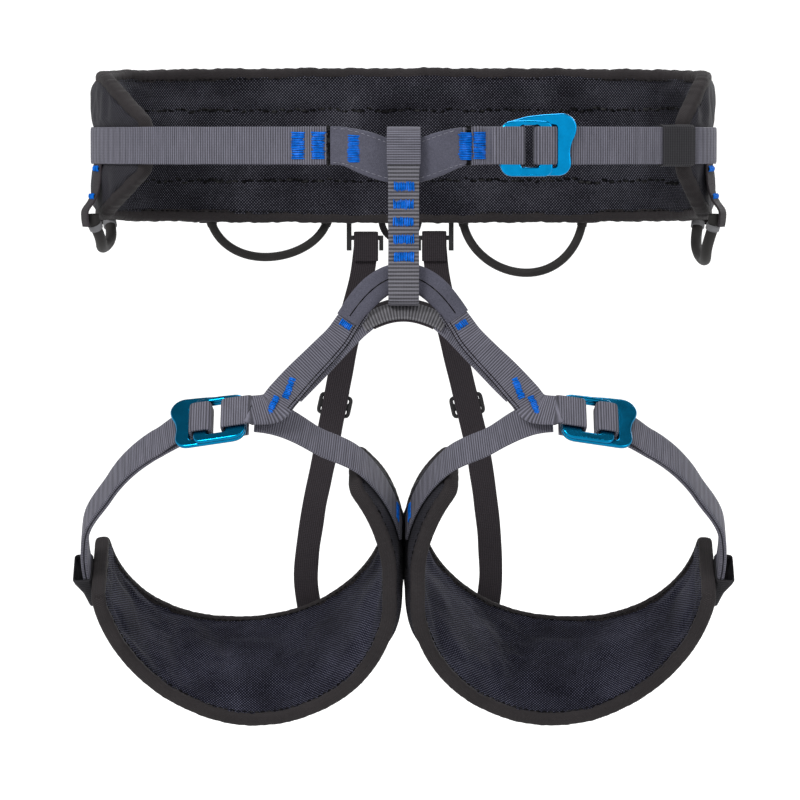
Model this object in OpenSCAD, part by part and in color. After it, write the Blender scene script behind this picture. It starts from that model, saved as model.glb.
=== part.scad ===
// Climbing harness: padded waist belt, belay loop, two padded leg loops, elastic risers,
// gear loops and three slide-block buckles. Millimetres, +Z up, +Y towards the wearer's back,
// +X towards the wearer's left hand. Origin: middle of the waist opening at the belt's mid-height.

/* [Waist belt] */
// Half width of the belt's oval, side to side
belt_a = 165; // [150:1:185]
// Half depth of the belt's oval, front to back
belt_b = 95; // [85:1:105]
// Half height of the pad at the sides
pad_half = 40; // [34:1:42]
// Extra half height of the pad at the middle of the back
pad_back_extra = 3.5; // [0:0.5:5]
// Thickness of the foam in the waist belt
foam_thick = 8; // [6:0.5:8]

/* [Webbing] */
// Width of the waist webbing
web_w = 20; // [18:0.5:20]
// Thickness of the webbing
web_t = 1.8; // [1.4:0.1:1.8]
// Width of the leg webbing
leg_web_w = 19; // [16:0.5:19]

/* [Belay loop] */
// Width of the belay loop
belay_w = 17.4; // [15:0.2:20]
// Thickness of one strand of the belay loop
belay_t = 3; // [2.5:0.1:3]
// Inner half gap between the strands
belay_gap = 5; // [5:0.1:6]

/* [Leg loops] */
// Half width of a leg ring across the body
leg_a = 80; // [77:1:80]
// Half width of a leg ring from front to back
leg_b = 91; // [85:1:95]
// Tilt of the leg ring's long axis below the horizontal
leg_tilt = 52; // [48:1:56]

/* [Buckles] */
// Thickness of a buckle plate
plate_t = 2.4; // [2:0.1:2.4]
// Distance of the waist buckle from the middle of the front
buckle_x = 69; // [67:1:71]

/* [Hidden] */
SIDES = ["left", "right"];

webbing_grey = "#5a5a64";
shell_grey = "#3c3c3c";
lining_navy = "#23232d";
binding_black = "#2d2a2a";
elastic_black = "#373438";
thread_blue = "#1464dc";
waist_blue = "#0082c8";
leg_blue = "#006996";
plastic_black = "#1c1c1e";
foam_grey = "#6b6b6b";

belt_power = 2.3;
gap = 0.2;                       // clearance between neighbouring layers
skin_t = 0.8;                    // thickness of shell and lining
bind_w = 4;                      // width of the edge binding
foam_in = -4.5;                  // inner face of the foam, from the belt's middle surface
foam_out = foam_in + foam_thick;
shell_out = foam_out + gap + skin_t;
web_in = shell_out + 0.3;        // inner face of the waist webbing
web_mid = web_in + web_t / 2;
tail_mid = web_mid + web_t + gap;
right_tip_x = 149;               // front ends of the waist pad
left_tip_x = 136;
dip = 9;                         // how far the waist strap is drawn down at the tie-in point
dip_reach = 36;
belay_y = -(belt_b + web_mid);   // middle plane of the belay loop
belay_top = 9.2;
belay_bottom = -84.5;
back_shift = -2;                 // the hangers and haul loop sit slightly off the middle

// ---------- general helpers ----------

function spow(v, p) = sign(v) * pow(abs(v), p);
function unit(v) = v / norm(v);
function mix(a, b, k) = a * (1 - k) + b * k;
function smooth(k) = let (c = min(1, max(0, k))) c * c * (3 - 2 * c);
function steps(a, b, n) = [for (i = [0:n]) a + (b - a) * i / n];

// Point of a smooth curve through hand-set points, k from 0 to len - 1
function curve_at(p, k) =
    let (n = len(p), i = min(n - 2, floor(k)), f = k - i,
         p0 = p[max(0, i - 1)], p1 = p[i], p2 = p[i + 1], p3 = p[min(n - 1, i + 2)])
    0.5 * (2 * p1 + (p2 - p0) * f + (2 * p0 - 5 * p1 + 4 * p2 - p3) * f * f
        + (3 * p1 - p0 - 3 * p2 + p3) * f * f * f);
function curve(p, per) = [for (k = steps(0, len(p) - 1, (len(p) - 1) * per)) curve_at(p, k)];

function tri_volume(p, f) = p[f[0]] * cross(p[f[1]], p[f[2]]);
function total(v, i = 0) = i == len(v) ? 0 : v[i] + total(v, i + 1);
function flipped(faces) = [for (f = faces) [f[2], f[1], f[0]]];
function fan(f) = [for (i = [1:len(f) - 2]) [f[0], f[i], f[i + 1]]];

// Triangles over a channel section: its first half is the inner side, its second half the outer
function strip(f) =
    let (n = len(f))
    [for (i = [0:n / 2 - 2]) each [[f[i], f[i + 1], f[n - 2 - i]], [f[i], f[n - 2 - i], f[n - 1 - i]]]];

// Closed solid through a list of rings that all have the same number of points
module loft(rings, closed = false, channel = false) {
    m = len(rings[0]);
    n = len(rings);
    points = [for (r = rings) each r];
    walls = [
        for (i = [0:n - (closed ? 1 : 2)], j = [0:m - 1])
            let (a = i * m, b = ((i + 1) % n) * m, k = (j + 1) % m)
            each [[a + j, a + k, b + k], [a + j, b + k, b + j]]
    ];
    start = [for (j = [0:m - 1]) j];
    end = [for (j = start) (n - 1) * m + j];
    end_caps = channel ? concat(flipped(strip(start)), strip(end)) : concat(flipped(fan(start)), fan(end));
    caps = closed ? [] : end_caps;
    faces = concat(walls, caps);
    inward = total([for (f = faces) tri_volume(points, f)]) > 0;
    polyhedron(points, inward ? flipped(faces) : faces, convexity = 10);
}

function tangent_at(p, i) = unit(p[min(len(p) - 1, i + 1)] - p[max(0, i - 1)]);

// Rings of a flat strap along points p, with a width direction for each point. w is one width or a list.
function strap_rings(p, across, w, t) = [
    for (i = [0:len(p) - 1])
        let (tan = tangent_at(p, i), n = unit(cross(tan, across[i])) * t / 2,
             s = unit(cross(n, tan)) * (is_list(w) ? w[i] : w) / 2)
        [p[i] + s + n, p[i] - s + n, p[i] - s - n, p[i] + s - n]
];

// Rings of a round cord along points p
function cord_rings(p, r, side, sides = 8) = [
    for (i = [0:len(p) - 1])
        let (tan = tangent_at(p, i), n = unit(cross(tan, side)), s = cross(n, tan))
        [for (a = steps(0, 360 - 360 / sides, sides - 1)) p[i] + r * (cos(a) * n + sin(a) * s)]
];

// ---------- waist belt geometry ----------

// The belt's middle surface is an upright superellipse. t is its parameter in degrees: 0 at the
// right, 90 at the back, 180 at the left, 270 at the front.
function oval(t) = [belt_a * spow(cos(t), 2 / belt_power), belt_b * spow(sin(t), 2 / belt_power)];
function oval_normal(t) =
    unit([spow(cos(t), 2 - 2 / belt_power) / belt_a, spow(sin(t), 2 - 2 / belt_power) / belt_b]);
function on_belt(t, z, d) = let (p = oval(t), m = oval_normal(t)) [p.x + d * m.x, p.y + d * m.y, z];
function front_t(x) = 360 - acos(spow(x / belt_a, belt_power / 2));

right_tip_t = front_t(right_tip_x) - 360;
left_tip_t = front_t(-left_tip_x);
function pad_height(t) =
    let (y = oval(t).y, tip = oval(t < 90 ? right_tip_t : left_tip_t).y,
         full = pad_half + pad_back_extra * max(0, sin(t)))
    y >= 0 ? full : full * (1 - 0.7 * pow(min(1, y / tip), 2.8));

// A layer of the pad between two offsets, set in from the pad's edge
module belt_layer(d1, d2, inset, n = 44) {
    end = inset / 2.2;           // degrees that match the inset at the tips
    loft([
        for (t = steps(right_tip_t + end, left_tip_t - end, n))
            let (h = pad_height(t) - inset)
            [on_belt(t, -h, d1), on_belt(t, h, d1), on_belt(t, h, d2), on_belt(t, -h, d2)]
    ]);
}

// Flat strap that follows the belt at offset d from t1 to t2, with its middle line at dip_z(t)
function dip_z(t) =
    let (x = abs(oval(t).x))
    oval(t).y < 0 && x < dip_reach ? -dip * (1 + cos(180 * x / dip_reach)) / 2 : 0;
function belt_route(t1, t2, d, n) = [for (t = steps(t1, t2, n)) on_belt(t, dip_z(t), d)];

// A block on the belt's outside from x1 to x2, measured along the front
module front_block(x1, x2, h1, h2, d1, d2, n = 3) {
    loft([
        for (x = steps(x1, x2, n))
            let (t = front_t(x), z = dip_z(t))
            [on_belt(t, z + h1, d1), on_belt(t, z + h2, d1), on_belt(t, z + h2, d2), on_belt(t, z + h1, d2)]
    ]);
}

// ---------- buckle frames ----------

// A frame is [origin, u along the strap, v across it, w away from the body]
buckle_t = front_t(buckle_x);
buckle_n = [oval_normal(buckle_t).x, oval_normal(buckle_t).y, 0];
buckle_lean = -buckle_n.y;       // share of the strap's length that runs along X at the buckle
waist_frame = [on_belt(buckle_t, 0, web_in), [-buckle_n.y, buckle_n.x, 0], [0, 0, 1], buckle_n];
function from_frame(f, u, v, w) = f[0] + f[1] * u + f[2] * v + f[3] * w;
module place(f) {
    translate(f[0])
        rotate([atan2(f[2].z, f[3].z), -asin(f[1].z), atan2(f[1].y, f[1].x)])
            children();
}

// Route of a strap in a frame, from [u, w] pairs
function frame_route(f, uw) = [for (q = uw) from_frame(f, q.x, 0, q.y)];

frame_w = 4;                     // level of the lower plate above the body strap
slider_w = frame_w + plate_t + gap;
over_w = slider_w + plate_t + gap + web_t / 2;
under_w = web_t / 2;
tail_w = under_w + web_t + gap;
bar_left = -21;
bar_edge = -10;
fold_u = bar_edge + 0.1 + web_t / 2 + 0.4;
turn_u = -1.6;
slider_right = 7.2;
post_edge = 9.8;                 // inner edge of the lower plate's solid end
rise_u = post_edge - web_t / 2 - 0.2;
travel = 2;                      // how far the slider moves
window_v = -11.3;                // lower edge and height of both plates' windows
window_h = 21.8;

// Sewn strap: from its hidden end, under the bars, up through the window and back over the front
fold_path = [
    [-14, under_w], [fold_u - 1.6, under_w + 0.1], [fold_u - 0.5, under_w + 0.6],
    [fold_u, under_w + 1.8], [fold_u, over_w - 1.8], [fold_u - 0.5, over_w - 0.6],
    [fold_u - 1.6, over_w], [-18, over_w], [bar_left - travel - 0.6, over_w],
    [bar_left - travel - 2, over_w - 1.2]
];
// Turn of the adjustable strap over the slider's bar
turn_path = [
    [turn_u, under_w + 2.4], [turn_u, over_w - 1.8], [turn_u + 0.5, over_w - 0.6],
    [turn_u + 1.6, over_w], [rise_u - 1.6, over_w], [rise_u - 0.5, over_w - 0.6],
    [rise_u, over_w - 1.8], [rise_u, tail_w + 2.2]
];

// Lower plate: rounded frame with a finger ear at its upper outer corner
module frame_outline() {
    difference() {
        union() {
            translate([-14, -9]) circle(r = 7);
            translate([-14, 6]) circle(r = 7);
            translate([11, -9]) circle(r = 7);
            translate([13, 9]) circle(r = 8);
            polygon([[-21, -9], [-14, -16], [11, -16], [18, -9], [17.6, -2], [19.4, 4.2], [21, 9],
                     [13, 17], [-5, 15.6], [-14, 13], [-21, 6]]);
        }
        translate([bar_edge, window_v]) square([post_edge - bar_edge, window_h]);
    }
}

// Upper plate: plain ring
module slider_outline() {
    difference() {
        union() {
            translate([-15, -10.3]) circle(r = 6);
            translate([-15, 7]) circle(r = 6);
            translate([slider_right - 4, -12.3]) circle(r = 4);
            translate([slider_right - 4, 9]) circle(r = 4);
            polygon([[-21, -10.3], [-15, -16.3], [3.2, -16.3], [7.2, -12.3], [7.2, 9], [3.2, 13],
                     [-15, 13], [-21, 7]]);
        }
        translate([bar_edge, window_v]) square([turn_u + 1.3 - bar_edge, window_h]);
    }
}
module frame_plate(f) place(f) translate([0, 0, frame_w]) linear_extrude(plate_t) frame_outline();
module slider_plate(f) place(f) translate([0, 0, slider_w]) linear_extrude(plate_t) slider_outline();

// ---------- waist belt nodes ----------

module waist_foam() color(foam_grey) belt_layer(foam_in, foam_out, bind_w + gap);
module waist_shell() color(shell_grey) belt_layer(foam_out + gap, shell_out, bind_w + gap);
module waist_lining() color(lining_navy) belt_layer(foam_in - gap - skin_t, foam_in - gap, bind_w + gap);

module waist_binding() {
    inner = foam_in - gap - skin_t - 0.5;
    outer = shell_out + 0.1;
    end = bind_w / 2.2;
    along = steps(right_tip_t, left_tip_t, 40);
    edge = concat(
        [for (t = along) [t, -1]],
        [for (i = [40:-1:0]) [along[i], 1]]);
    color(binding_black) loft([
        for (e = edge)
            let (t = e[0], k = e[1], h = pad_height(t) * k,
                 ti = min(left_tip_t - end, max(right_tip_t + end, t)),
                 hi = (pad_height(ti) - bind_w) * k)
            [on_belt(t, h, inner), on_belt(t, h, outer), on_belt(ti, hi, outer), on_belt(ti, hi, inner)]
    ], closed = true);
}

// One strap from the fold at the buckle's inner bars, across the front, round the back and up to
// the slider at the buckle's outer side
function belt_uw(u, w) =
    let (t = front_t(buckle_x + u * buckle_lean)) on_belt(t, dip_z(t), web_in + w);
module waist_webbing() {
    hidden = [belt_uw(-41, under_w), belt_uw(-26, under_w)];
    fold = frame_route(waist_frame, fold_path);
    down = [for (q = [[-25.4, 5.4], [-26, 3.7], [-27.3, tail_w + 0.1], [-29, tail_w], [-42, tail_w],
                      [-48, 1.1]]) belt_uw(q.x, q.y)];
    front = [for (x = steps(14, -62, 24)) on_belt(front_t(x), dip_z(front_t(x)), web_mid)];
    round = belt_route(front_t(-66), front_t(buckle_x + 26) - 360, web_mid, 56);
    finish = frame_route(waist_frame, [[14, under_w], [4, under_w], [turn_u + 1.6, under_w + 0.05],
                                       [turn_u + 0.4, under_w + 0.7]]);
    path = concat(hidden, fold, down, front, round, finish);
    across = [for (p = path) [0, 0, 1]];
    color(webbing_grey) loft(strap_rings(path, across, web_w, web_t));
}

// Sleeve sewn round the strap where the belay loop hangs
module waist_tie_in_sleeve() {
    x1 = -38;
    x2 = 15;
    wall = 1.1;
    room = 0.3;
    inner_h = web_w / 2 + 1;     // room for the slanted stretches of the strap
    color(webbing_grey) difference() {
        loft(sleeve_rings(x1, x2, inner_h + wall, room + wall));
        loft(sleeve_rings(x1 - 1, x2 + 1, inner_h, room));
    }
}
function sleeve_rings(x1, x2, h, room) = [
    for (x = steps(x1, x2, 16))
        let (t = front_t(x), z = dip_z(t), d1 = web_in - room, d2 = web_in + web_t + room)
        [on_belt(t, z - h, d1), on_belt(t, z + h, d1), on_belt(t, z + h, d2), on_belt(t, z - h, d2)]
];

module waist_bar_tacks() {
    half_w = 2.75;
    half_h = 7.5;
    thick = 0.6;
    on_web = web_in + web_t + 0.05;
    on_sleeve = on_web + 1.4;
    on_double = on_web + web_t + gap + 0.1;
    color(thread_blue) {
        for (x = [-54.9, -44.4]) front_block(x - half_w, x + half_w, -half_h, half_h, on_web, on_web + thick);
        front_block(-25.9 - half_w, -25.9 + half_w, -half_h, half_h, on_sleeve, on_sleeve + thick);
        for (x = [31.5, 39]) front_block(x - half_w, x + half_w, -half_h, half_h, on_double, on_double + thick);
    }
}

module waist_buckle_frame() color(waist_blue) frame_plate(waist_frame);
module waist_buckle_slider() color(waist_blue) slider_plate(waist_frame);
module waist_strap_turn() {
    path = frame_route(waist_frame, turn_path);
    color(webbing_grey) loft(strap_rings(path, [for (p = path) [0, 0, 1]], web_w, web_t));
}

keeper_x1 = 136;
keeper_x2 = 150;
module waist_strap_tail() {
    start = frame_route(waist_frame, [[rise_u + 0.2, tail_w + 1.4], [rise_u + 0.8, tail_w + 0.4],
                                      [rise_u + 2, tail_w], [18, tail_w]]);
    round = [for (x = steps(buckle_x + 26, keeper_x2 + 3, 16)) on_belt(front_t(x), 0, tail_mid)];
    path = concat(start, round);
    color(webbing_grey) loft(strap_rings(path, [for (p = path) [0, 0, 1]], web_w, web_t));
}

// Elastic band round both layers of strap; the pad closes its inner side
module waist_keeper() {
    h = web_w / 2 + gap;
    thick = 1;
    d1 = web_in;
    d2 = tail_mid + web_t / 2 + gap;
    color(elastic_black) loft([
        for (x = steps(keeper_x1, keeper_x2, 5))
            let (t = front_t(x))
            [for (q = [[-h, d1], [-h, d2], [h, d2], [h, d1], [h + thick, d1], [h + thick, d2 + thick],
                       [-h - thick, d2 + thick], [-h - thick, d1]]) on_belt(t, q.x, q.y)]
    ], channel = true);
}

// ---------- belay loop and leg tie-in ----------

module belay_outline(grow) {
    r = belay_gap + grow;
    hull_top = belay_top - belay_t - belay_gap;
    hull_bottom = belay_bottom + belay_t + belay_gap;
    translate([0, hull_top]) circle(r = r);
    translate([0, hull_bottom]) circle(r = r);
    translate([-r, hull_bottom]) square([2 * r, hull_top - hull_bottom]);
}
module belay_loop() {
    color(webbing_grey) translate([belay_w / 2, belay_y, 0]) rotate([90, 0, -90])
        linear_extrude(belay_w) difference() {
            belay_outline(belay_t);
            belay_outline(0);
        }
}
module belay_bar_tacks() {
    tack_w = 11;
    tack_h = 4.5;
    front = belay_y - belay_gap - belay_t - 0.05;
    color(thread_blue) for (z = [-21.5, -31, -40, -49.3, -58.5])
        translate([-tack_w / 2, front - 0.6, z - tack_h / 2]) cube([tack_w, 0.6, tack_h]);
}

arch_top = -69;                  // middle line of the tie-in sleeve at its highest
arch_k = 0.0265;
arch_w = 14.6;
arch_t = 5;
function arch_point(x, side) =
    let (slope = 2 * arch_k * x, n = unit([slope, 1])) [x, arch_top - arch_k * x * x] + side * n;
module leg_tie_in_sleeve() {
    xs = steps(-29, 29, 24);
    color(webbing_grey) translate([0, belay_y + arch_t / 2, 0]) rotate([90, 0, 0])
        linear_extrude(arch_t) polygon(concat(
            [for (x = xs) arch_point(x, arch_w / 2)],
            [for (i = [24:-1:0]) arch_point(xs[i], -arch_w / 2)]));
}

// Lower strap of the tie-in point, a ramp from a low front edge to a high back edge
bridge_across = unit([0, 0.82, 0.57]);
bridge_down = unit([0, 0.57, -0.82]);
function bridge_route(reach, drop, back) = [
    for (x = steps(-reach, reach, 12))
        [x, -99.5, -87.2 - 0.0155 * x * x] + bridge_down * drop + bridge_across * back
];
module leg_bridge_webbing() {
    path = bridge_route(15, 0, 0);
    color(webbing_grey) loft(strap_rings(path, [for (p = path) bridge_across], 14, web_t));
}
module leg_bridge_liner() {
    path = bridge_route(15, web_t / 2 + 0.8, 3);
    color(elastic_black) loft(strap_rings(path, [for (p = path) bridge_across], 21, 1.2));
}

// ---------- back of the belt ----------

haul_t = 90;
module haul_loop() {
    r = 2;
    path = [for (k = steps(0, 180, 14)) [-11 * cos(k) + back_shift, on_belt(haul_t, 0, 9).y, -37 - 17 * pow(sin(k), 0.7)]];
    color(elastic_black) loft(cord_rings(path, r, [0, 1, 0]));
}

// Gear loops: [name, first end and second end as belt parameters, depth, cord radius, how far it
// hangs back in under the belt]
gear_top = -37;
GEAR = [
    ["left_front", 161, 194, 19, 3.5, 8],
    ["right_front", -14, 19, 26, 3.5, 8],
    ["left_rear", 102, 127.5, 26.5, 2.5, 3],
    ["right_rear", 56, 81, 35.5, 2.5, 3]
];
function gear_path(g) = [
    for (k = steps(0, 180, 20))
        on_belt(mix(g[1], g[2], (1 - cos(k)) / 2), gear_top - g[3] * pow(sin(k), 0.7),
                web_in + g[4] + 0.4 - g[5] * smooth(sin(k)))
];
module gear_loop(g) {
    mid = oval_normal((g[1] + g[2]) / 2);
    color(plastic_black) loft(cord_rings(gear_path(g), g[4], [mid.x, mid.y, 0]));
}
module gear_loop_tabs() {
    tab_half = 2.4;              // degrees of the belt's parameter
    color(elastic_black) for (g = GEAR, t = [g[1], g[2]])
        loft([for (a = steps(t - tab_half, t + tab_half, 2))
            [on_belt(a, -33.5, web_in), on_belt(a, -12, web_in), on_belt(a, -12, web_in + 1.4),
             on_belt(a, -33.5, web_in + 1.4)]]);
}

hanger_y = 100;
hanger_t = 2.4;
hanger_foot = -60;
// Flat hook: a leg up the back of the belt, a bar for the riser and a small turned-down tip
module hanger_outline() {
    translate([27.8, hanger_foot]) square([2.8, 26]);
    translate([9.6, -54]) square([19, 2.6]);
    translate([9.6, hanger_foot]) square([2.4, 8]);
}
module riser_hangers() {
    color(plastic_black) for (flip = [0, 1])
        translate([back_shift, hanger_y + hanger_t, 0]) mirror([flip, 0, 0]) rotate([90, 0, 0])
            linear_extrude(hanger_t) hanger_outline();
}

// ---------- leg loop geometry, for the right leg ----------

leg_c = [leg_a + 6, -48, -219];
ring_u = [0, cos(leg_tilt), -sin(leg_tilt)];
function ring_mid(phi) = leg_c + [-leg_a * sin(phi), 0, 0] + leg_b * cos(phi) * ring_u;
function ring_tan(phi) = unit([-leg_a * cos(phi), 0, 0] - leg_b * sin(phi) * ring_u);
function ring_across(phi) =
    let (lift = 90 - leg_tilt + 9 * smooth((-cos(phi) - 0.2) / 0.7)) [0, cos(lift), sin(lift)];
function ring_out(phi) = unit(cross(ring_tan(phi), ring_across(phi)));
function on_ring(phi, v, w) = ring_mid(phi) + ring_across(phi) * v + ring_out(phi) * w;

leg_pad_from = -83;
leg_pad_to = 132;
// Half width of the leg pad round the ring
function leg_pad_half(phi) = lookup(phi, [
    [-83, 25], [-63, 27], [-35, 33], [0, 41], [50, 41], [90, 34], [110, 25], [132, 14]
]);
leg_foam_in = -3.9;
leg_foam_out = 3.2;
leg_shell_out = leg_foam_out + gap + 0.7;
leg_strap_out = leg_shell_out + 0.5 + web_t / 2;   // level of a strap on the outside of the pad

module sided(side) {
    if (side == "left") mirror([1, 0, 0]) children();
    else children();
}
module leg_layer(d1, d2, inset) {
    end = inset / 1.5;           // degrees that match the inset at the ends
    loft([
        for (a = steps(leg_pad_from + end, leg_pad_to - end, 36))
            let (h = leg_pad_half(a) - inset)
            [on_ring(a, -h, d1), on_ring(a, h, d1), on_ring(a, h, d2), on_ring(a, -h, d2)]
    ]);
}
module leg_foam(side) color(foam_grey) sided(side) leg_layer(leg_foam_in, leg_foam_out, bind_w + gap);
module leg_shell(side)
    color(shell_grey) sided(side) leg_layer(leg_foam_out + gap, leg_shell_out, bind_w + gap);
module leg_lining(side)
    color(lining_navy) sided(side) leg_layer(leg_foam_in - gap - 0.7, leg_foam_in - gap, bind_w + gap);
module leg_binding(side) {
    end = bind_w / 1.5;
    along = steps(leg_pad_from, leg_pad_to, 34);
    edge = concat([for (a = along) [a, -1]], [for (i = [34:-1:0]) [along[i], 1]]);
    d1 = leg_foam_in - gap - 1.1;
    d2 = leg_shell_out + 0.3;
    color(binding_black) sided(side) loft([
        for (e = edge)
            let (a = e[0], k = e[1], h = leg_pad_half(a) * k,
                 ai = min(leg_pad_to - end, max(leg_pad_from + end, a)),
                 hi = (leg_pad_half(ai) - bind_w) * k)
            [on_ring(a, h, d1), on_ring(a, h, d2), on_ring(ai, hi, d2), on_ring(ai, hi, d1)]
    ], closed = true);
}

leg_buckle_phi = 191.5;
leg_frame = [on_ring(leg_buckle_phi, 0, 0), cross(ring_across(leg_buckle_phi), ring_out(leg_buckle_phi)),
             ring_across(leg_buckle_phi), ring_out(leg_buckle_phi)];
deg_per_mm = 0.7;
module leg_strap(side, path, across, w = leg_web_w)
    color(webbing_grey) sided(side) loft(strap_rings(path, across, w, web_t));

// Strap from the tie-in sleeve down to the fold over the buckle's inner bars
module leg_front_strap(side) {
    fold = frame_route(leg_frame, concat([[-27, under_w]], fold_path));
    down = [[69.5, -109.5, -138], [63, -106, -131], [54, -103, -121], [42.5, -101, -109.5],
            [35, -100.7, -101.5], [31.2, -100.7, -95.6]];
    sideways = unit([0.76, 0, 0.65]);
    across = concat([for (p = fold) leg_frame[2]],
                    [for (k = [0.3, 0.6, 0.85, 1, 1, 1]) unit(mix(leg_frame[2], sideways, k))]);
    width = concat([for (p = fold) leg_web_w], [18.5, 17.5, 16.2, 15.2, arch_w, arch_w]);
    leg_strap(side, concat(fold, down), across, width);
}
module leg_inner_strap(side) {
    angles = steps(171.5, 104, 18);
    path = [for (a = angles) on_ring(a, 0, mix(under_w, leg_strap_out, smooth((150 - a) / 18)))];
    leg_strap(side, path, [for (a = angles) ring_across(a)]);
}
function outer_level(a) = mix(under_w, leg_strap_out, smooth((a - 240) / 20));
module leg_outer_strap(side) {
    finish = frame_route(leg_frame, [[14, under_w - 0.4], [5, under_w], [turn_u + 1.6, under_w + 0.05],
                                     [turn_u + 0.4, under_w + 0.7]]);
    angles = steps(300, leg_buckle_phi + 26 * deg_per_mm, 26);
    path = concat([for (a = angles) on_ring(a, 0, outer_level(a))], finish);
    leg_strap(side, path, concat([for (a = angles) ring_across(a)], [for (p = finish) leg_frame[2]]));
}
module leg_strap_tail(side) {
    start = frame_route(leg_frame, [[rise_u + 0.2, tail_w + 1.4], [rise_u + 0.8, tail_w + 0.4],
                                    [rise_u + 2, tail_w], [18, tail_w - 0.3]]);
    angles = steps(leg_buckle_phi + 28 * deg_per_mm, 297, 26);
    path = concat(start, [for (a = angles) on_ring(a, 0, outer_level(a) + web_t + gap)]);
    leg_strap(side, path, concat([for (p = start) leg_frame[2]], [for (a = angles) ring_across(a)]));
}
module leg_strap_turn(side) {
    path = frame_route(leg_frame, turn_path);
    leg_strap(side, path, [for (p = path) leg_frame[2]]);
}
module leg_buckle_frame(side) color(leg_blue) sided(side) frame_plate(leg_frame);
module leg_buckle_slider(side) color(leg_blue) sided(side) slider_plate(leg_frame);

module leg_keeper(side) {
    h = leg_web_w / 2 + gap;
    thick = 1;
    d1 = leg_strap_out - web_t / 2;
    d2 = leg_strap_out + web_t * 1.5 + 2 * gap;
    color(elastic_black) sided(side) loft([
        for (a = steps(277, 289, 4))
            [for (q = [[-h, d1], [-h, d2], [h, d2], [h, d1], [h + thick, d1], [h + thick, d2 + thick],
                       [-h - thick, d2 + thick], [-h - thick, d1]]) on_ring(a, q.x, q.y)]
    ], channel = true);
}
module leg_bar_tacks(side) {
    tack_w = 4;
    tack_h = 11;
    lift = web_t / 2 + 1.3;
    places = [[[69, -109.2, -137.4], 0.35], [[60.5, -105.1, -128.2], 0.6]];
    color(thread_blue) sided(side) for (q = places) {
        v = unit(mix(leg_frame[2], unit([0.71, 0, 0.7]), q[1]));
        u = unit([0.66, -0.26, -0.7]);
        n = unit(cross(u, v));
        place([q[0] + n * lift, unit(cross(v, n)), v, n])
            translate([-tack_w / 2, -tack_h / 2, 0]) cube([tack_w, tack_h, 0.6]);
    }
}

// ---------- risers ----------

riser_w = 14;
riser_t = 1.6;
// Hand-set route of a riser from its hook to the leg pad, for the right side
function riser_tuck(side) = side == "left" ? 22 : 26;
function riser_route(side) =
    let (tuck = riser_tuck(side),
         hang = side == "left"
            ? [[21.5, 101.2, -56], [31, 87, -104], [39, 69, -146], [44, 58, -172], [51, 49, -207], [55, 46, -240]]
            : [[17.5, 101.2, -56], [26, 87, -104], [36, 69, -146], [42, 58, -172], [47, 49, -207], [49, 46, -240]])
    concat(hang, [on_ring(tuck, 46, 8), on_ring(tuck, 38, 6.8), on_ring(tuck, 24, 6.6)]);
module riser(side) {
    path = riser_route(side);
    tuck = riser_tuck(side);
    n = len(path);
    across = [for (i = [0:n - 1]) unit(mix([1, 0, 0], -ring_tan(tuck), smooth((i - 3) / 3)))];
    color(elastic_black) sided(side) loft(strap_rings(curve(path, 4), curve(across, 4), riser_w, riser_t));
}
// Three-bar slide on the riser
module riser_adjuster(side) {
    at = [side == "left" ? 39 : 36, 69, -146];
    u = unit([0.2, -0.37, -0.9]);
    v = unit(cross(unit(cross(u, [1, 0, 0])), u));
    n = unit(cross(u, v));
    color(plastic_black) sided(side) place([at - n * 3.6, u, v, n]) linear_extrude(1.6) difference() {
        square([13, 19], center = true);
        for (s = [-3, 3]) translate([s, 0]) square([2.6, 14.6], center = true);
    }
}

waist_foam();
waist_shell();
waist_lining();
waist_binding();
waist_webbing();
waist_tie_in_sleeve();
waist_bar_tacks();
waist_buckle_frame();
waist_buckle_slider();
waist_strap_turn();
waist_strap_tail();
waist_keeper();
belay_loop();
belay_bar_tacks();
leg_tie_in_sleeve();
leg_bridge_webbing();
leg_bridge_liner();
haul_loop();
gear_loop_tabs();
riser_hangers();
for (g = GEAR) gear_loop(g);
for (s = SIDES) {
    riser(s);
    riser_adjuster(s);
    leg_foam(s);
    leg_shell(s);
    leg_lining(s);
    leg_binding(s);
    leg_front_strap(s);
    leg_inner_strap(s);
    leg_outer_strap(s);
    leg_strap_turn(s);
    leg_strap_tail(s);
    leg_buckle_frame(s);
    leg_buckle_slider(s);
    leg_keeper(s);
    leg_bar_tacks(s);
}
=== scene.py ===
import math

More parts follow.
